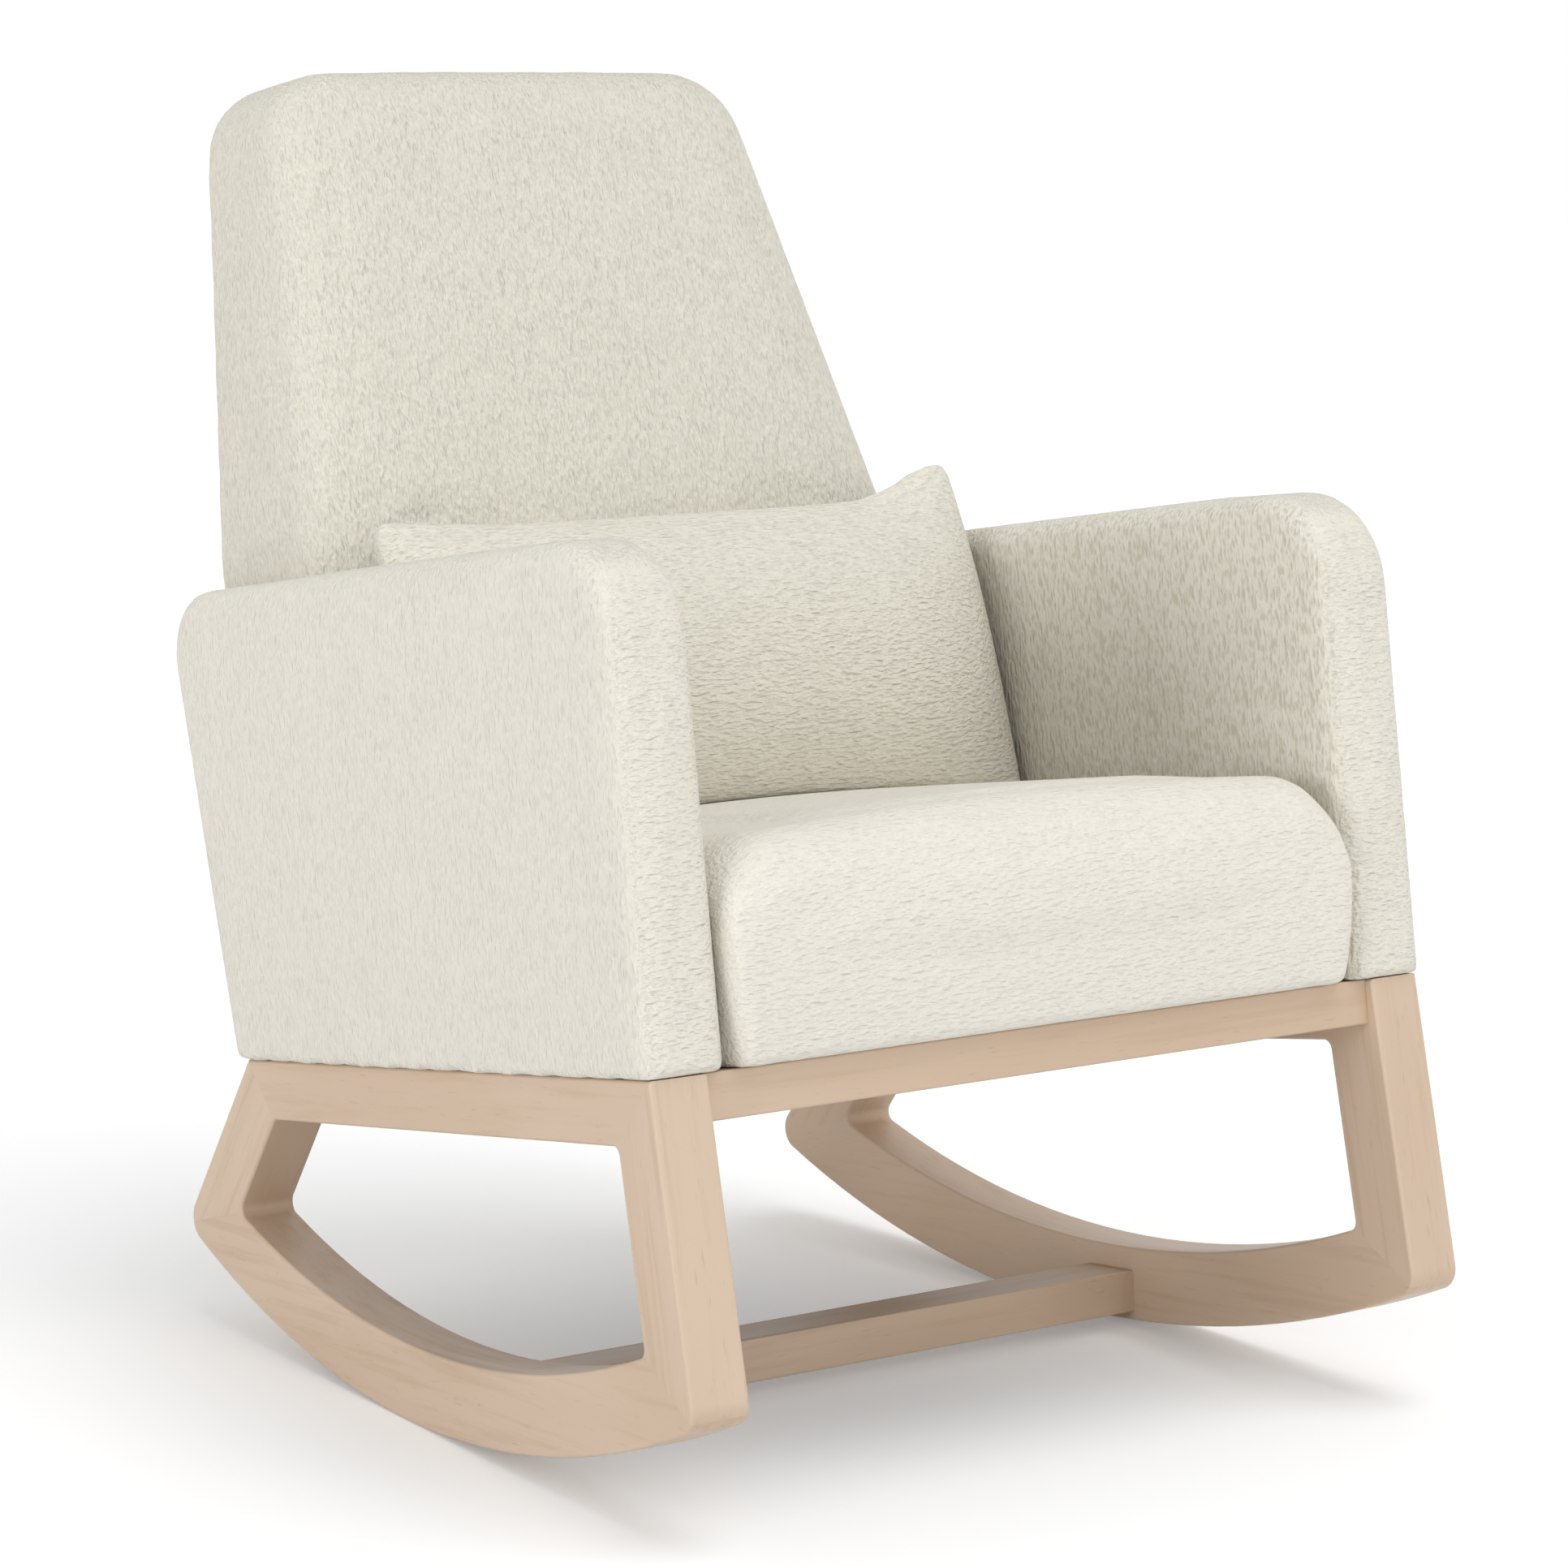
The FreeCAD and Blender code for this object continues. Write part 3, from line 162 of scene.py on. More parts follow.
links.new(add.outputs[0], output.inputs["Surface"])
floor.data.materials.append(paper)
print("floor", FLOOR_SIZE, "m square")

# %% [markdown]
# ## Maple
# The base is pale maple with a clear satin finish: close, even wood with faint streaks and small flecks
# along the grain. Photographs of boards would be one way. Three stretched noises in a node group do the
# same, and a Mapping node in each material turns the group so that the streaks run along the timber.


# %% Build the grain group
def colour(red, green, blue):
    """A colour given as it looks on a screen, 0 to 255, as linear light."""
    def linear(level):
        share = level / 255
        return share / 12.92 if share <= 0.04045 else ((share + 0.055) / 1.055) ** 2.4

    return linear(red), linear(green), linear(blue), 1


def group_with(name, inputs, outputs):
    """An empty shader group with its sockets, as (group, its inputs, its outputs)."""
    group = bpy.data.node_groups.new(name, "ShaderNodeTree")
    for socket, kind in inputs:
        group.interface.new_socket(name=socket, in_out="INPUT", socket_type=kind)
    for socket, kind in outputs:
        group.interface.new_socket(name=socket, in_out="OUTPUT", socket_type=kind)
    return group, group.nodes.new("NodeGroupInput"), group.nodes.new("NodeGroupOutput")


def stretched(tree, point, scale):
    """The point, scaled by a different amount along each axis."""
    mapping = tree.nodes.new("ShaderNodeMapping")
    mapping.inputs["Scale"].default_value = scale
    tree.links.new(point, mapping.inputs["Vector"])
    return mapping.outputs["Vector"]


def noise(tree, point, scale, detail=2.0, roughness=0.5):
    """A noise texture at a point."""
    texture = tree.nodes.new("ShaderNodeTexNoise")
    texture.inputs["Scale"].default_value = scale
    texture.inputs["Detail"].default_value = detail
    texture.inputs["Roughness"].default_value = roughness
    tree.links.new(point, texture.inputs["Vector"])
    return texture


def ramp(tree, value, low, high, to_low=0.0, to_high=1.0):
    """The value, spread from the range low..high to to_low..to_high."""
    spread = tree.nodes.new("ShaderNodeMapRange")
    spread.inputs["From Min"].default_value = low
    spread.inputs["From Max"].default_value = high
    spread.inputs["To Min"].default_value = to_low
    spread.inputs["To Max"].default_value = to_high
    spread.interpolation_type = "SMOOTHSTEP"
    tree.links.new(value, spread.inputs["Value"])
    return spread.outputs["Result"]


def combined(tree, operation, first, second):
    """Math on two values, each a socket or a number."""
    node = tree.nodes.new("ShaderNodeMath")
    node.operation = operation
    for socket, value in zip(node.inputs, (first, second)):
        if isinstance(value, (int, float)):
            socket.default_value = value
        else:
            tree.links.new(value, socket)
    return node.outputs[0]


def tinted(tree, factor, first, second):
    """A mix of two colours, each a socket or a colour."""
    node = tree.nodes.new("ShaderNodeMix")
    node.data_type = "RGBA"
    tree.links.new(factor, node.inputs["Factor"])
    for socket, value in ((node.inputs[6], first), (node.inputs[7], second)):
        if isinstance(value, tuple):
            socket.default_value = value
        else:
            tree.links.new(value, socket)
    return node.outputs[2]


grain, inside, outside = group_with(
    "maple_grain",
    [("Point", "NodeSocketVector")],
    [("Color", "NodeSocketColor"), ("Roughness", "NodeSocketFloat"), ("Height", "NodeSocketFloat")],
)
point = inside.outputs["Point"]
figure = noise(grain, stretched(grain, point, (1.6, 9, 9)), 1.0, 3.0).outputs["Fac"]
streaks = noise(grain, stretched(grain, point, (5, 120, 120)), 1.0, 4.0, 0.6).outputs["Fac"]
flecks = noise(grain, stretched(grain, point, (60, 420, 420)), 1.0, 1.0).outputs["Fac"]
base = tinted(grain, ramp(grain, figure, 0.35, 0.65), colour(205, 182, 159), colour(198, 173, 148))
base = tinted(grain, ramp(grain, streaks, 0.48, 0.72, 0.0, 0.5), base, colour(187, 159, 132))
base = tinted(grain, ramp(grain, flecks, 0.66, 0.8, 0.0, 0.3), base, colour(167, 137, 112))
grain.links.new(base, outside.inputs["Color"])
grain.links.new(ramp(grain, streaks, 0.3, 0.7, 0.42, 0.52), outside.inputs["Roughness"])
grain.links.new(combined(grain, "MULTIPLY", streaks, 0.5), outside.inputs["Height"])
print("grain group nodes", len(grain.nodes))


# %% Give each timber its finish
def new_material(name):
    """A material with a Principled shader, its texture coordinates and its tree."""
    material = bpy.data.materials.new(name)
    material.use_nodes = True
    tree = material.node_tree
    return material, tree, tree.nodes["Principled BSDF"], tree.nodes.new("ShaderNodeTexCoord")


def placed_group(tree, group, point):
    """A shader group in a material, fed with a point."""
    node = tree.nodes.new("ShaderNodeGroup")
    node.node_tree = group
    tree.links.new(point, node.inputs["Point"])
    return node


def bumped(tree, height, distance, strength):
    """The normal of a surface with this height, from a Bump node."""
    bump = tree.nodes.new("ShaderNodeBump")
    bump.inputs["Distance"].default_value = distance
    bump.inputs["Strength"].default_value = strength
    tree.links.new(height, bump.inputs["Height"])
    return bump.outputs["Normal"]


def turned_to_x(direction):
    """The rotation that lays a direction along x."""
    return Vector(direction).rotation_difference(Vector((1, 0, 0))).to_euler()


def maple(name, along):
    """Maple whose grain runs along a direction."""
    material, tree, shader, coords = new_material(name)
    turn = tree.nodes.new("ShaderNodeMapping")
    turn.inputs["Rotation"].default_value = turned_to_x(along)
    tree.links.new(coords.outputs["Object"], turn.inputs["Vector"])
    wood = placed_group(tree, grain, turn.outputs["Vector"])
    tree.links.new(wood.outputs["Color"], shader.inputs["Base Color"])
    tree.links.new(wood.outputs["Roughness"], shader.inputs["Roughness"])
    tree.links.new(bumped(tree, wood.outputs["Height"], 0.0004, 0.35), shader.inputs["Normal"])
    shader.inputs["Coat Weight"].default_value = 0.12
    shader.inputs["Coat Roughness"].default_value = 0.35
    return material


def finish_node(node, material):
    """One material on a CAD node."""
    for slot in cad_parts[node].material_slots:
        slot.link = "OBJECT"
        slot.material = material


LEAN = math.radians(8.7)
LEVEL_UP = Vector((0, math.sin(LEAN), math.cos(LEAN)))
LEVEL_BACK = Vector((0, math.cos(LEAN), -math.sin(LEAN)))


def in_side_plane(degrees):
    """A direction in the side view, in degrees above the seat rail's line."""
    angle = math.radians(degrees)
    return LEVEL_BACK * math.cos(angle) + LEVEL_UP * math.sin(angle)


maple_rail = maple("maple_side_rail", in_side_plane(0))
maple_front_leg = maple("maple_front_leg", in_side_plane(85.4))
maple_rear_leg = maple("maple_rear_leg", in_side_plane(-43.8))
maple_runner = maple("maple_runner", in_side_plane(4))
maple_across = maple("maple_cross_rail", (1, 0, 0))
for hand in ("left", "right"):
    finish_node(f"side_rail_{hand}", maple_rail)
    finish_node(f"front_leg_{hand}", maple_front_leg)
    finish_node(f"rear_leg_{hand}", maple_rear_leg)
    finish_node(f"runner_{hand}", maple_runner)
    finish_node(f"frame_dowels_{hand}", maple_across)
for node in ("front_rail", "middle_rail", "rear_rail", "stretcher", "rail_dowels", "stretcher_dowels"):
    finish_node(node, maple_across)
print("maple on the base")

# %% [markdown]
# ## Boucle
# The cover is a short-pile cream boucle. Close up its surface is a field of low ridges and creases, about
# three times longer than wide, under a haze of fine fibre. They run up the back and the arms' sides, and
# across on the seat, the pillow and the arms' fronts. Modelled ridges would need a very fine mesh, so a
# group makes them from noise: the height feeds a Bump node, and the low spots take a deeper colour as
# painted shade in the creases. Each material turns and stretches the points along its own lie before they
# go in. Faces that look towards the middle of the chair, such as the arms' inner ones, get deeper painted
# shade in their creases, because relief alone hardly shows in the even light there. The back's cream is a
# little darker than the rest, as painted shade.


# %% Build the pile group
pile, inside, outside = group_with(
    "boucle_pile",
    [("Point", "NodeSocketVector")],
    [("Height", "NodeSocketFloat"), ("Crease", "NodeSocketFloat")],
)
point = inside.outputs["Point"]
folds = noise(pile, point, 1.0, 1.0, 0.5).outputs["Fac"]
crease = ramp(pile, folds, 0.54, 0.32)
fuzz = noise(pile, point, 3.0, 2.0, 0.6).outputs["Fac"]
height = combined(pile, "ADD", folds, combined(pile, "MULTIPLY", fuzz, 0.25))
pile.links.new(height, outside.inputs["Height"])
pile.links.new(crease, outside.inputs["Crease"])
print("pile group nodes", len(pile.nodes))


# %% Mix the boucle materials
CREASE_WIDE = 0.0029
CREASE_LONG = 0.0088
# Painted shade: the deepest crease darkening, on faces turned towards the middle of the chair.
INNER_SHADE_DEPTH = 0.38
FACING_FRONT = (-0.45, -0.8)
FACING_INWARDS = (-0.4, -0.8)
# Painted shade: the colour that the creases are darkened towards.
CREASE_SHADE_COLOUR = colour(168, 157, 126)
MOTTLE_STEP = 4


def laid_along(tree, point, lie):
    """The point in creases: long along the lie, narrow across it."""
    mapping = tree.nodes.new("ShaderNodeMapping")
    mapping.inputs["Rotation"].default_value = turned_to_x(lie)
    tree.links.new(point, mapping.inputs["Vector"])
    return stretched(tree, mapping.outputs["Vector"], (1 / CREASE_LONG, 1 / CREASE_WIDE, 1 / CREASE_WIDE))


def boucle(name, cream, relief, crease_shade, lie, front_lie):
    """Boucle with a relief and a depth of painted shade in its creases, along one lie, and another on its
    fronts.
    """
    material, tree, shader, coords = new_material(name)
    normal = tree.nodes.new("ShaderNodeSeparateXYZ")
    tree.links.new(coords.outputs["Normal"], normal.inputs[0])
    facing = ramp(tree, normal.outputs["Y"], *FACING_FRONT)
    sides = placed_group(tree, pile, laid_along(tree, coords.outputs["Object"], lie))
    fronts = placed_group(tree, pile, laid_along(tree, coords.outputs["Object"], front_lie))
    blended = []
    for socket in ("Height", "Crease"):
        mix = tree.nodes.new("ShaderNodeMix")
        tree.links.new(facing, mix.inputs["Factor"])
        tree.links.new(sides.outputs[socket], mix.inputs["A"])
        tree.links.new(fronts.outputs[socket], mix.inputs["B"])
        blended.append(mix.outputs["Result"])
    height, crease = blended
    patches = noise(tree, coords.outputs["Object"], 14, 2.0).outputs["Fac"]
    mottled = tinted(tree, patches, colour(*cream), colour(*(level - MOTTLE_STEP for level in cream)))
    place = tree.nodes.new("ShaderNodeSeparateXYZ")
    tree.links.new(coords.outputs["Object"], place.inputs[0])
    # Painted shade: faces turned towards the middle of the chair get darker creases.
    inward = combined(tree, "MULTIPLY", combined(tree, "SIGN", place.outputs["X"], 0), normal.outputs["X"])
    crease_shade_by_facing = ramp(tree, inward, *FACING_INWARDS, crease_shade, max(crease_shade, INNER_SHADE_DEPTH))
    # Painted shade: creases darkened towards the crease colour, more deeply on faces turned to the middle.
    shaded = tinted(tree, combined(tree, "MULTIPLY", crease, crease_shade_by_facing), mottled, CREASE_SHADE_COLOUR)
    tree.links.new(shaded, shader.inputs["Base Color"])
    tree.links.new(bumped(tree, height, relief, 1.0), shader.inputs["Normal"])
    shader.inputs["Roughness"].default_value = 0.95
    shader.inputs["Specular IOR Level"].default_value = 0.15
    shader.inputs["Sheen Weight"].default_value = 0.2
    shader.inputs["Sheen Roughness"].default_value = 0.5
    return material


BACK_LEAN = math.radians(15.7) + LEAN
UP_THE_BACK = (0, math.sin(BACK_LEAN), math.cos(BACK_LEAN))
ACROSS = (1, 0, 0)
# The back's cream is a few levels darker than the other covers: painted shade.
boucle_back = boucle("boucle_back", (226, 222, 209), 0.0045, 0.1, UP_THE_BACK, UP_THE_BACK)
boucle_arm = boucle("boucle_arm", (231, 227, 215), 0.0036, 0.06, LEVEL_UP, ACROSS)
boucle_seat = boucle("boucle_seat", (232, 228, 217), 0.0026, 0.05, ACROSS, ACROSS)
boucle_pillow = boucle("boucle_pillow", (231, 227, 214), 0.0042, 0.13, ACROSS, ACROSS)
print("boucle for the back, the arms, the seat and the pillow")

# %% [markdown]
# ## Hidden pieces
# Inside and under the chair are plywood frames and corner blocks, straps, foam, black dust cloth and bolts.
# Little of this can be seen. Each could have a material of its own, but one function is enough: a noise
# between two colours, which can be stretched along the fibres.


# %% Finish the pieces under the seat
def plain_finish(name, dark, light, scale, roughness, relief, metallic=0.0):
    """A material mottled between two colours, with a shallow bump of the same grain."""
    material, tree, shader, coords = new_material(name)
    mottle = noise(tree, stretched(tree, coords.outputs["Object"], scale), 1.0, 3.0).outputs["Fac"]
    tree.links.new(tinted(tree, ramp(tree, mottle, 0.3, 0.7), dark, light), shader.inputs["Base Color"])
    rough = ramp(tree, mottle, 0.2, 0.8, roughness - 0.06, roughness + 0.06)
    tree.links.new(rough, shader.inputs["Roughness"])
    tree.links.new(bumped(tree, mottle, relief, 0.5), shader.inputs["Normal"])
    shader.inputs["Metallic"].default_value = metallic
    return material


plywood = plain_finish(
    "birch_plywood", colour(196, 166, 126), colour(214, 188, 150), (40, 260, 260), 0.6, 0.0003)
dust_cloth = plain_finish(
    "black_dust_cloth", colour(24, 24, 25), colour(44, 44, 46), (900, 900, 900), 0.9, 0.0004)
strap_weave = plain_finish(
    "elastic_webbing", colour(40, 38, 36), colour(66, 63, 60), (90, 1100, 1100), 0.85, 0.0005)
foam = plain_finish(
    "cream_foam", colour(226, 216, 186), colour(238, 230, 206), (500, 500, 500), 0.9, 0.0005)
zinc = plain_finish(
    "zinc_steel", colour(150, 152, 155), colour(184, 186, 188), (300, 300, 300), 0.35, 0.0001, metallic=1.0)
finishes = {
    "dust_cover": dust_cloth, "corner_blocks": plywood, "back_webbing": strap_weave,
    "seat_bolts": zinc, "arm_bolts": zinc, "back_bolts": zinc,
}
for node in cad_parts:
    if node.startswith(("arm_frame", "back_post", "back_top", "back_bottom", "seat_frame", "seat_deck")):
        finishes[node] = plywood
    if "foam" in node or node == "pillow_fill":
        finishes[node] = foam
for node, material in finishes.items():
    finish_node(node, material)
print("hidden finishes on", len(finishes), "nodes")

# %% [markdown]
# ## Padded skins
# Each padded form starts as a copy of its CAD cover. That cover is a thin shell, so its open rim is cut
# away, the inner wall is thrown out and the hole is closed. A voxel remesh then gives even cloth squares,
# and Blender's Cloth blows the form up a little, as foam does behind a stretched cover. The points near the
# wood are pinned, because there the real cover is stapled down. Free cloth also draws its edges in, which
# would bare the frame inside, so only the outward part of each point's move is kept, up to a limit.


# %% Take the outer skin of a cover
def only(obj):
    """Make one object the selected and active one."""
    bpy.ops.object.select_all(action="DESELECT")
    obj.select_set(True)
    bpy.context.view_layer.objects.active = obj


def copy_of_node(node, name):
    """A copy of a CAD node's mesh under a new name, with its doubled points joined."""
    piece = bpy.data.objects.new(name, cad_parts[node].data.copy())
    scene.collection.objects.link(piece)
    piece.data.materials.clear()
    only(piece)
    bpy.ops.object.mode_set(mode="EDIT")
    bpy.ops.mesh.select_all(action="SELECT")
    bpy.ops.mesh.remove_doubles(threshold=0.00001)
    bpy.ops.mesh.select_all(action="DESELECT")
    bpy.ops.object.mode_set(mode="OBJECT")
    return piece


def outer_shell(piece):
    """The larger of a piece's separate surfaces. The others are deleted."""
    name = piece.name
    only(piece)
    bpy.ops.object.mode_set(mode="EDIT")
    bpy.ops.mesh.select_all(action="SELECT")
    bpy.ops.mesh.separate(type="LOOSE")
    bpy.ops.object.mode_set(mode="OBJECT")
    *inner, outer = sorted(bpy.context.selected_objects, key=lambda shell: shell.dimensions.length)
    for shell in inner:
        bpy.data.objects.remove(shell)
    outer.name = name
    only(outer)
    return outer


def outer_skin(node, name):
    """The outside of a hollow cover, closed at the bottom."""
    piece = copy_of_node(node, name)
    lowest = min(v.co.dot(LEVEL_UP) for v in piece.data.vertices)
    for face in piece.data.polygons:
        face.select = face.normal.dot(LEVEL_UP) < -0.99 and face.center.dot(LEVEL_UP) < lowest + 0.0005
    bpy.ops.object.mode_set(mode="EDIT")
    bpy.ops.mesh.select_mode(type="FACE")
    bpy.ops.mesh.delete(type="FACE")
    bpy.ops.object.mode_set(mode="OBJECT")
    piece = outer_shell(piece)
    bpy.ops.object.mode_set(mode="EDIT")
    bpy.ops.mesh.select_mode(type="EDGE")
    bpy.ops.mesh.select_all(action="DESELECT")
    bpy.ops.mesh.select_non_manifold()
    bpy.ops.mesh.edge_face_add()
    bpy.ops.mesh.select_all(action="SELECT")
    bpy.ops.mesh.normals_make_consistent(inside=False)
    bpy.ops.object.mode_set(mode="OBJECT")
    return piece


def applied(obj, kind, **settings):
    """Add a modifier with these settings and apply it."""
    only(obj)
    modifier = obj.modifiers.new(kind.title(), kind)
    for key, value in settings.items():
        setattr(modifier, key, value)
    bpy.ops.object.modifier_apply(modifier=modifier.name)


# %% Blow the skins up with Cloth
CLOTH_PRESSURE = 1.0
CLOTH_STIFFNESS = 60.0
CLOTH_FRAMES = 20
HEM = 0.006
HEM_FADE = 0.06


def swollen(obj, pressure, stiffness, frames, hold):
    """Cloth under pressure from within, for some frames. The hold group stays where it is."""
    only(obj)
    cloth = obj.modifiers.new("Cloth", "CLOTH")
    settings = cloth.settings
    settings.quality = 4
    settings.mass = 0.3
    settings.tension_stiffness = stiffness
    settings.compression_stiffness = stiffness
    settings.shear_stiffness = stiffness / 3
    settings.bending_stiffness = 0.5
    settings.use_pressure = True
    settings.uniform_pressure_force = pressure
    settings.effector_weights.gravity = 0
    settings.vertex_group_mass = hold
    cloth.point_cache.frame_start = 1
    cloth.point_cache.frame_end = frames
    for number in range(1, frames + 1):
        scene.frame_set(number)
    bpy.ops.object.modifier_apply(modifier=cloth.name)
    scene.frame_set(1)


def evened(obj, voxel):
    """Even cloth squares, drawn back onto the form that the remesh has blurred."""
    mould = obj.copy()
    mould.data = obj.data.copy()
    scene.collection.objects.link(mould)
    applied(obj, "REMESH", mode="VOXEL", voxel_size=voxel, use_smooth_shade=True)
    applied(obj, "SHRINKWRAP", target=mould)
    applied(obj, "SMOOTH", factor=0.5, iterations=1)
    bpy.data.objects.remove(mould)


def soften(obj, shrink, most, held):
    """A skin that starts a little small and swells where nothing holds it, to its form or just outside."""
    hold = obj.vertex_groups.new(name="hold")
    points = [(v.co.copy(), v.normal.copy()) for v in obj.data.vertices]
    shares = [held(place, normal) for place, normal in points]
    for index, (place, normal) in enumerate(points):
        hold.add([index], shares[index], "REPLACE")
        obj.data.vertices[index].co = place - normal * shrink * (1 - shares[index])
    swollen(obj, CLOTH_PRESSURE, CLOTH_STIFFNESS, CLOTH_FRAMES, hold.name)
    swell = [(v.co - place).dot(normal) for v, (place, normal) in zip(obj.data.vertices, points)]
    for vertex, (place, normal), out in zip(obj.data.vertices, points, swell):
        vertex.co = place + normal * min(most, max(0.0, out))
    print(obj.name, "swelled up to", round(max(swell) * 1000, 1), "mm, kept to", most * 1000)
    obj.vertex_groups.clear()
    applied(obj, "SUBSURF", levels=1, render_levels=1)
    bpy.ops.object.shade_smooth()


def hemmed(place, lowest):
    """1 at the stapled hem along the wood, falling to 0 a few centimetres above it."""
    return min(1.0, max(0.0, 1 - (place.dot(LEVEL_UP) - lowest - HEM) / HEM_FADE))


def rounded(place, first, first_end, second, second_end, radius):
    """The point, drawn in where it lies outside the round corner between two outward directions."""
    past_first = place.dot(first) - first_end + radius
    past_second = place.dot(second) - second_end + radius
    past = math.hypot(past_first, past_second)
    if past_first <= 0 or past_second <= 0 or past <= radius:
        return place
    return place - (first * past_first + second * past_second) * (1 - radius / past)


def dress(obj, material, slot, body, *nodes):
    """Material, body and the CAD nodes that a padded piece stands for."""
    obj.data.materials.clear()
    obj.data.materials.append(material)
    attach(obj, body)
    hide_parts(*nodes)


# %% [markdown]
# ## Arms
# An arm is a plywood panel wrapped in foam, flat on both faces and soft along its edges, with a small round
# at its rear foot. Both arms are the same piece, so one is made, and the other is a mirrored copy with its
# own mesh.

# %% Make the arms
RAIL_TOP = min(v.co.dot(LEVEL_UP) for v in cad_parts["arm_cover_right"].data.vertices)


def arm_held(place, normal):
    """The inner face is backed by the panel, and the hem is stapled."""
    return max(0.9 if normal.x < -0.8 else 0.0, hemmed(place, RAIL_TOP))


REAR_FACE = in_side_plane(-7.5)
FOOT_ROUND = 0.02
right_arm = outer_skin("arm_cover_right", "padded_arm_right")
evened(right_arm, voxel=0.007)
rear = max(v.co.dot(REAR_FACE) for v in right_arm.data.vertices)
for vertex in right_arm.data.vertices:
    vertex.co = rounded(vertex.co, REAR_FACE, rear, -LEVEL_UP, -RAIL_TOP, FOOT_ROUND)
soften(right_arm, shrink=0.001, most=0.002, held=arm_held)
left_arm = right_arm.copy()
left_arm.data = right_arm.data.copy()
left_arm.name = "padded_arm_left"
scene.collection.objects.link(left_arm)
left_arm.data.transform(Matrix.Scale(-1, 4, (1, 0, 0)))
left_arm.data.flip_normals()
for hand, arm in (("left", left_arm), ("right", right_arm)):
    dress(arm, boucle_arm, "boucle", "chair", f"arm_cover_{hand}", f"arm_foam_{hand}")
print("arms", len(right_arm.data.polygons), "faces each")

# %% [markdown]
# ## Seat
# The seat is a thick cushion, fixed to the base, with a bulging front that rolls over into a crowned top.
# Its sides press against the arms and its rear against the back, so they are held. The CAD form is round at
# its upright front corners. The real seat fills the space between the arms, so these points are moved out.


# %% Make the seat
def seat_held(place, normal):
    """The faces against the arms and the back don't swell, and the hem is stapled."""
    pressed = abs(normal.x) > 0.7 or normal.y > 0.5
    return max(1.0 if pressed else 0.0, hemmed(place, RAIL_TOP))


CORNER_ROUND = 0.046
SQUARENESS = 12
TOP_ROLL = 0.03
TOP_FADE = 0.05


def fill_corners(obj):
    """Square the cushion's upright front corners, which the arms hold in shape, below its rounded top."""
    side = max(v.co.x for v in obj.data.vertices)
    front = min(v.co.dot(LEVEL_BACK) for v in obj.data.vertices)
    top = max(v.co.dot(LEVEL_UP) for v in obj.data.vertices)
    for vertex in obj.data.vertices:
        x, y, z = abs(vertex.co.x), vertex.co.dot(LEVEL_BACK), vertex.co.dot(LEVEL_UP)
        across = (x - side) / CORNER_ROUND + 1
        ahead = (front - y) / CORNER_ROUND + 1
        share = min(1.0, max(0.0, (top - TOP_ROLL - z) / TOP_FADE))
        if across > 0 and ahead > 0:
            reach = (across ** SQUARENESS + ahead ** SQUARENESS) ** (1 / SQUARENESS)
            grow = (math.hypot(across, ahead) / reach - 1) * share * CORNER_ROUND
            vertex.co.x += math.copysign(grow * across, vertex.co.x)
            vertex.co -= LEVEL_BACK * grow * ahead


seat = outer_skin("seat_cover", "padded_seat")
evened(seat, voxel=0.007)
fill_corners(seat)
soften(seat, shrink=0.002, most=0.004, held=seat_held)
dress(seat, boucle_seat, "boucle", "chair", "seat_cover", "seat_foam")
print("seat", len(seat.data.polygons), "faces")

# %% [markdown]
# ## Back
# The back leans and narrows upwards. Its front edges are much rounder than its rear ones, so a Smooth
# modifier works on the front alone: at the rear it would bare the posts. Between the arms and behind the
# seat the back has no room to swell.

# %% Make the back
ARM_TOP = max(v.co.dot(LEVEL_UP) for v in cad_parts["arm_cover_right"].data.vertices)
SEAT_RISE = 0.16
REAR_KEPT = 0.04
REAR_FADE = 0.04


def back_held(place, normal):
    """The faces between the arms and behind the seat don't swell, and the hem is stapled."""
    above = place.dot(LEVEL_UP)
    between = abs(normal.x) > 0.5 and above < ARM_TOP
    behind_seat = normal.y < -0.5 and above < RAIL_TOP + SEAT_RISE
    return max(1.0 if between or behind_seat else 0.0, hemmed(place, RAIL_TOP))


BACK_NORMAL = Vector((0, math.cos(BACK_LEAN), -math.sin(BACK_LEAN)))
back = outer_skin("back_cover", "padded_back")
evened(back, voxel=0.008)
rear = max(v.co.dot(BACK_NORMAL) for v in back.data.vertices)
front_edges = back.vertex_groups.new(name="front_edges")
for vertex in back.data.vertices:
    ahead = (rear - vertex.co.dot(BACK_NORMAL) - REAR_KEPT) / REAR_FADE
    front_edges.add([vertex.index], min(1.0, max(0.0, ahead)), "REPLACE")
applied(back, "SMOOTH", factor=0.5, iterations=12, vertex_group=front_edges.name)
back.vertex_groups.clear()
soften(back, shrink=0.002, most=0.003, held=back_held)
dress(back, boucle_back, "boucle", "chair", "back_cover", "back_foam")
print("back", len(back.data.polygons), "faces")

# %% [markdown]
# ## Pillow
# The lumbar pillow is a stuffed bag: fat in the middle and thin along its edges. It stands on the seat and
# leans on the back. Its right top corner stands up as a blunt ear, and the left one lies lower. A flat bag
# blown up from nothing pulls its edges in too far, so the pillow starts from its CAD form. The right corner
# is lifted, both are capped and rounded, and the foot is let down onto the seat. These moves give the pillow
# its shape. Cloth, with the ends and the foot held, then changes it by less than a millimetre.

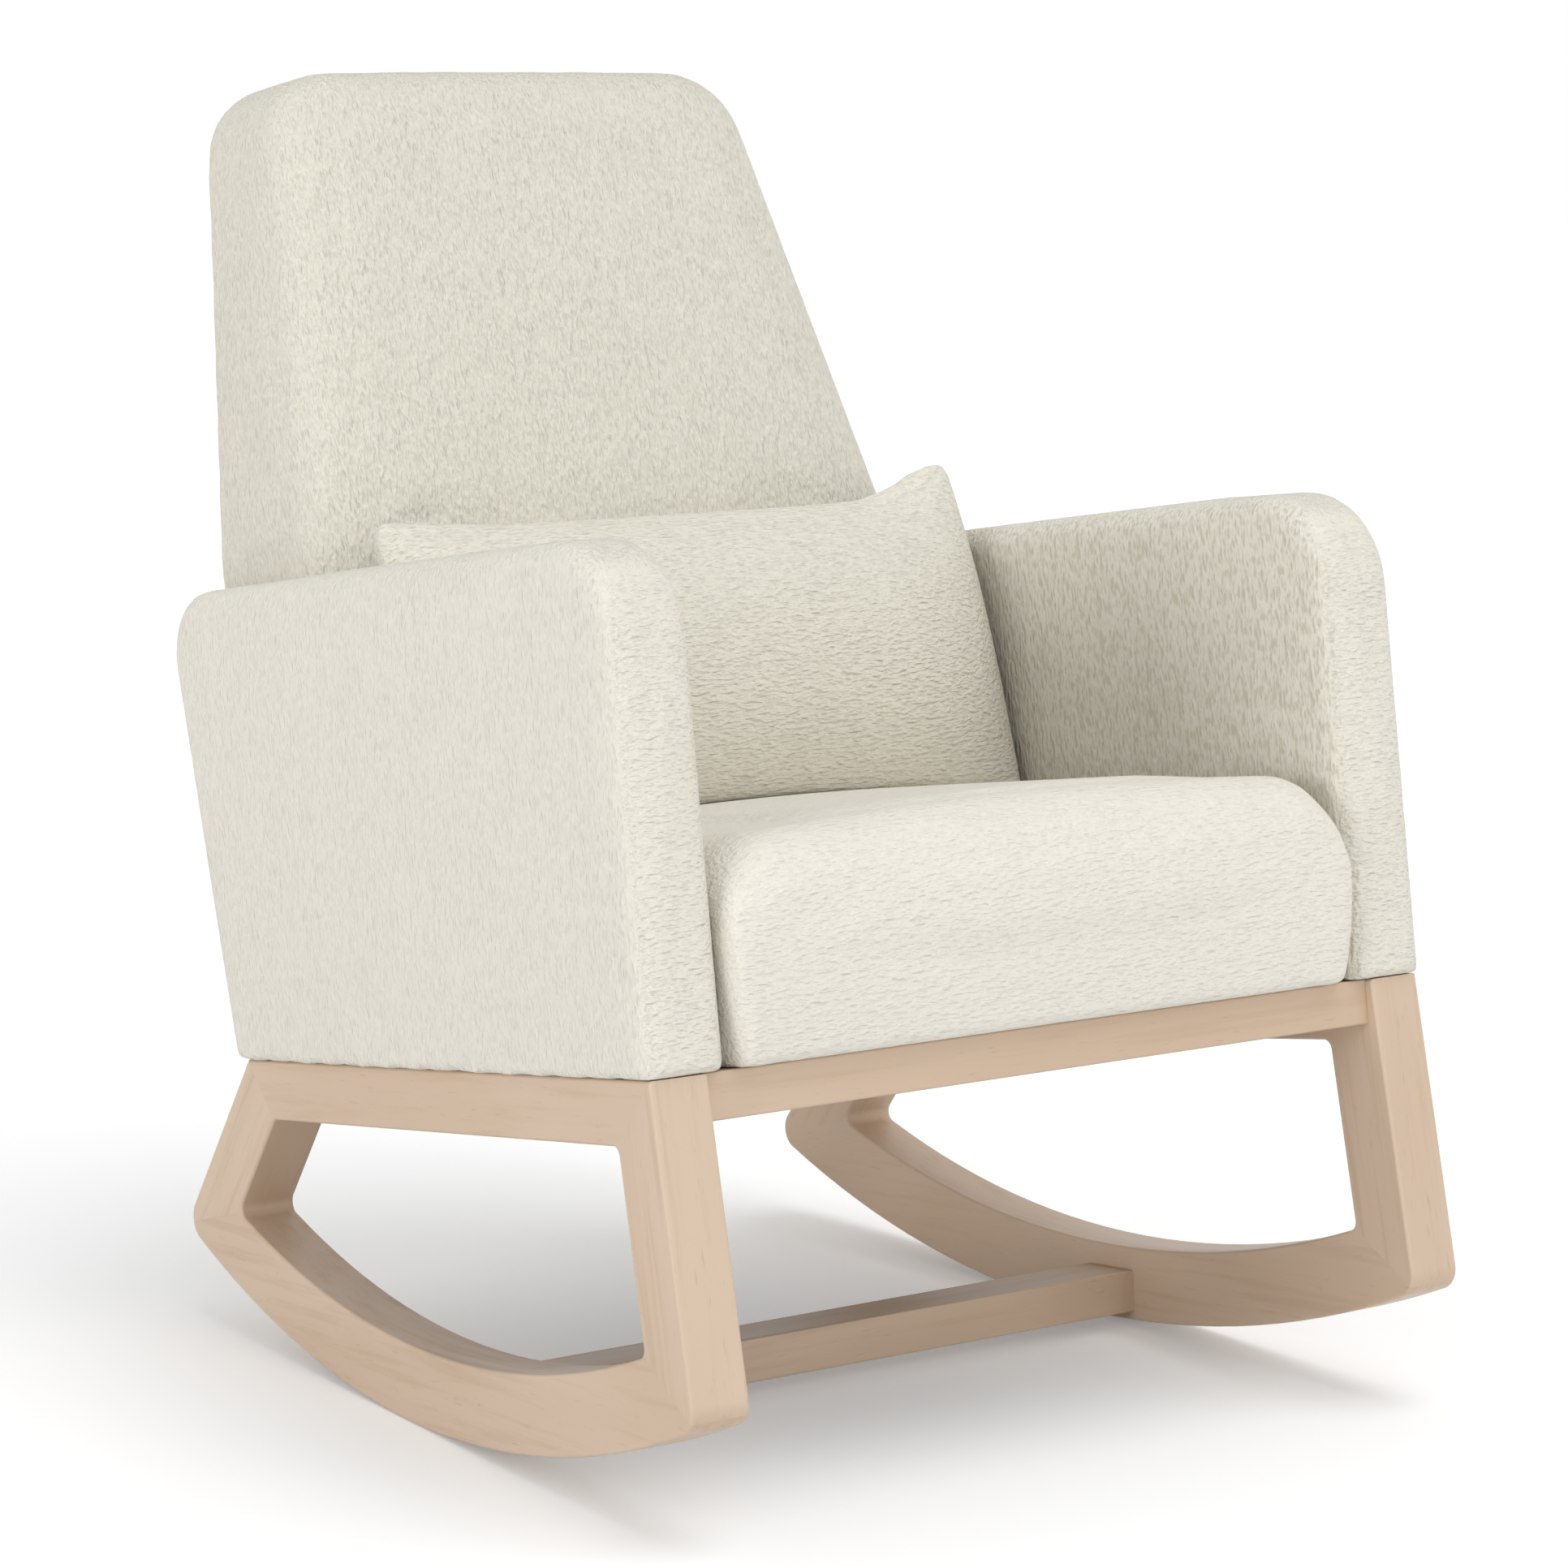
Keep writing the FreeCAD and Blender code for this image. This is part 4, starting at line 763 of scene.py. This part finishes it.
# %% Shape the pillow
UP = Vector(UP_THE_BACK)
EAR_LIFT = 0.03
EAR_START = 0.6
EAR_RISE = 0.008
EAR_DROP = 0.014
EAR_ROUND = 0.02
EAR_SOFT = 0.012
EAR_DEPTH = 0.03
SAG_REACH = 0.6
CLEAR = 0.0006
RAY_START = 0.2
pillow = outer_shell(copy_of_node("pillow_cover", "lumbar_pillow"))
applied(pillow, "REMESH", mode="VOXEL", voxel_size=0.005, use_smooth_shade=True)
points = [v.co.copy() for v in pillow.data.vertices]
side = max(p.x for p in points)
foot = min(p.dot(UP) for p in points)
head = max(p.dot(UP) for p in points)
ear_side = max(abs(p.x) for p in points if p.dot(UP) > head - EAR_DEPTH)
middle = sum(points, Vector()) / len(points)
under = middle - UP * (middle.dot(UP) - foot)
seat_top = BVHTree.FromObject(seat, bpy.context.evaluated_depsgraph_get())


def height_over_seat(place):
    """Distance from a point down to the seat, negative inside it."""
    hit, _, _, far = seat_top.ray_cast(place + LEVEL_UP * RAY_START, -LEVEL_UP)
    return far - RAY_START if hit else RAY_START


for vertex, place in zip(pillow.data.vertices, points):
    rise = (place.dot(UP) - foot) / (head - foot)
    end = abs(place.x) / side
    raised = place.x > 0
    if raised:
        place += UP * EAR_LIFT * rise * max(0.0, (end - EAR_START) / (1 - EAR_START)) ** 2
    ear_top = head + (EAR_RISE if raised else -EAR_DROP)
    sideways = Vector((math.copysign(1, place.x), 0, 0))
    over = place.dot(UP) - ear_top + EAR_SOFT
    if over > 0:
        place -= UP * (over - EAR_SOFT * (1 - math.exp(-over / EAR_SOFT)))
    place = rounded(place, sideways, ear_side, UP, ear_top, EAR_ROUND)
    sag = height_over_seat(Vector((place.x, under.y, under.z)))
    place -= LEVEL_UP * sag * max(0.0, 1 - rise / SAG_REACH)
    place += LEVEL_UP * max(0.0, CLEAR - height_over_seat(place))
    vertex.co = place
applied(pillow, "SMOOTH", factor=0.5, iterations=6)
print("pillow stands", round(min(height_over_seat(v.co) for v in pillow.data.vertices), 4), "m over the seat")


# %% Swell the pillow
END_START = 0.85
END_FADE = 0.15
FOOT_HELD = 0.03


def pillow_held(place, normal):
    """The seam at the two ends, where the bag is thin, hardly swells, and the foot rests on the seat."""
    ends = (abs(place.x) / side - END_START) / END_FADE
    resting = 1 - (place.dot(UP) - foot) / FOOT_HELD
    return min(1.0, max(0.0, ends, resting))


soften(pillow, shrink=0.002, most=0.006, held=pillow_held)
dress(pillow, boucle_pillow, "boucle", "pillow", "pillow_cover", "pillow_fill")
print("pillow", len(pillow.data.polygons), "faces")
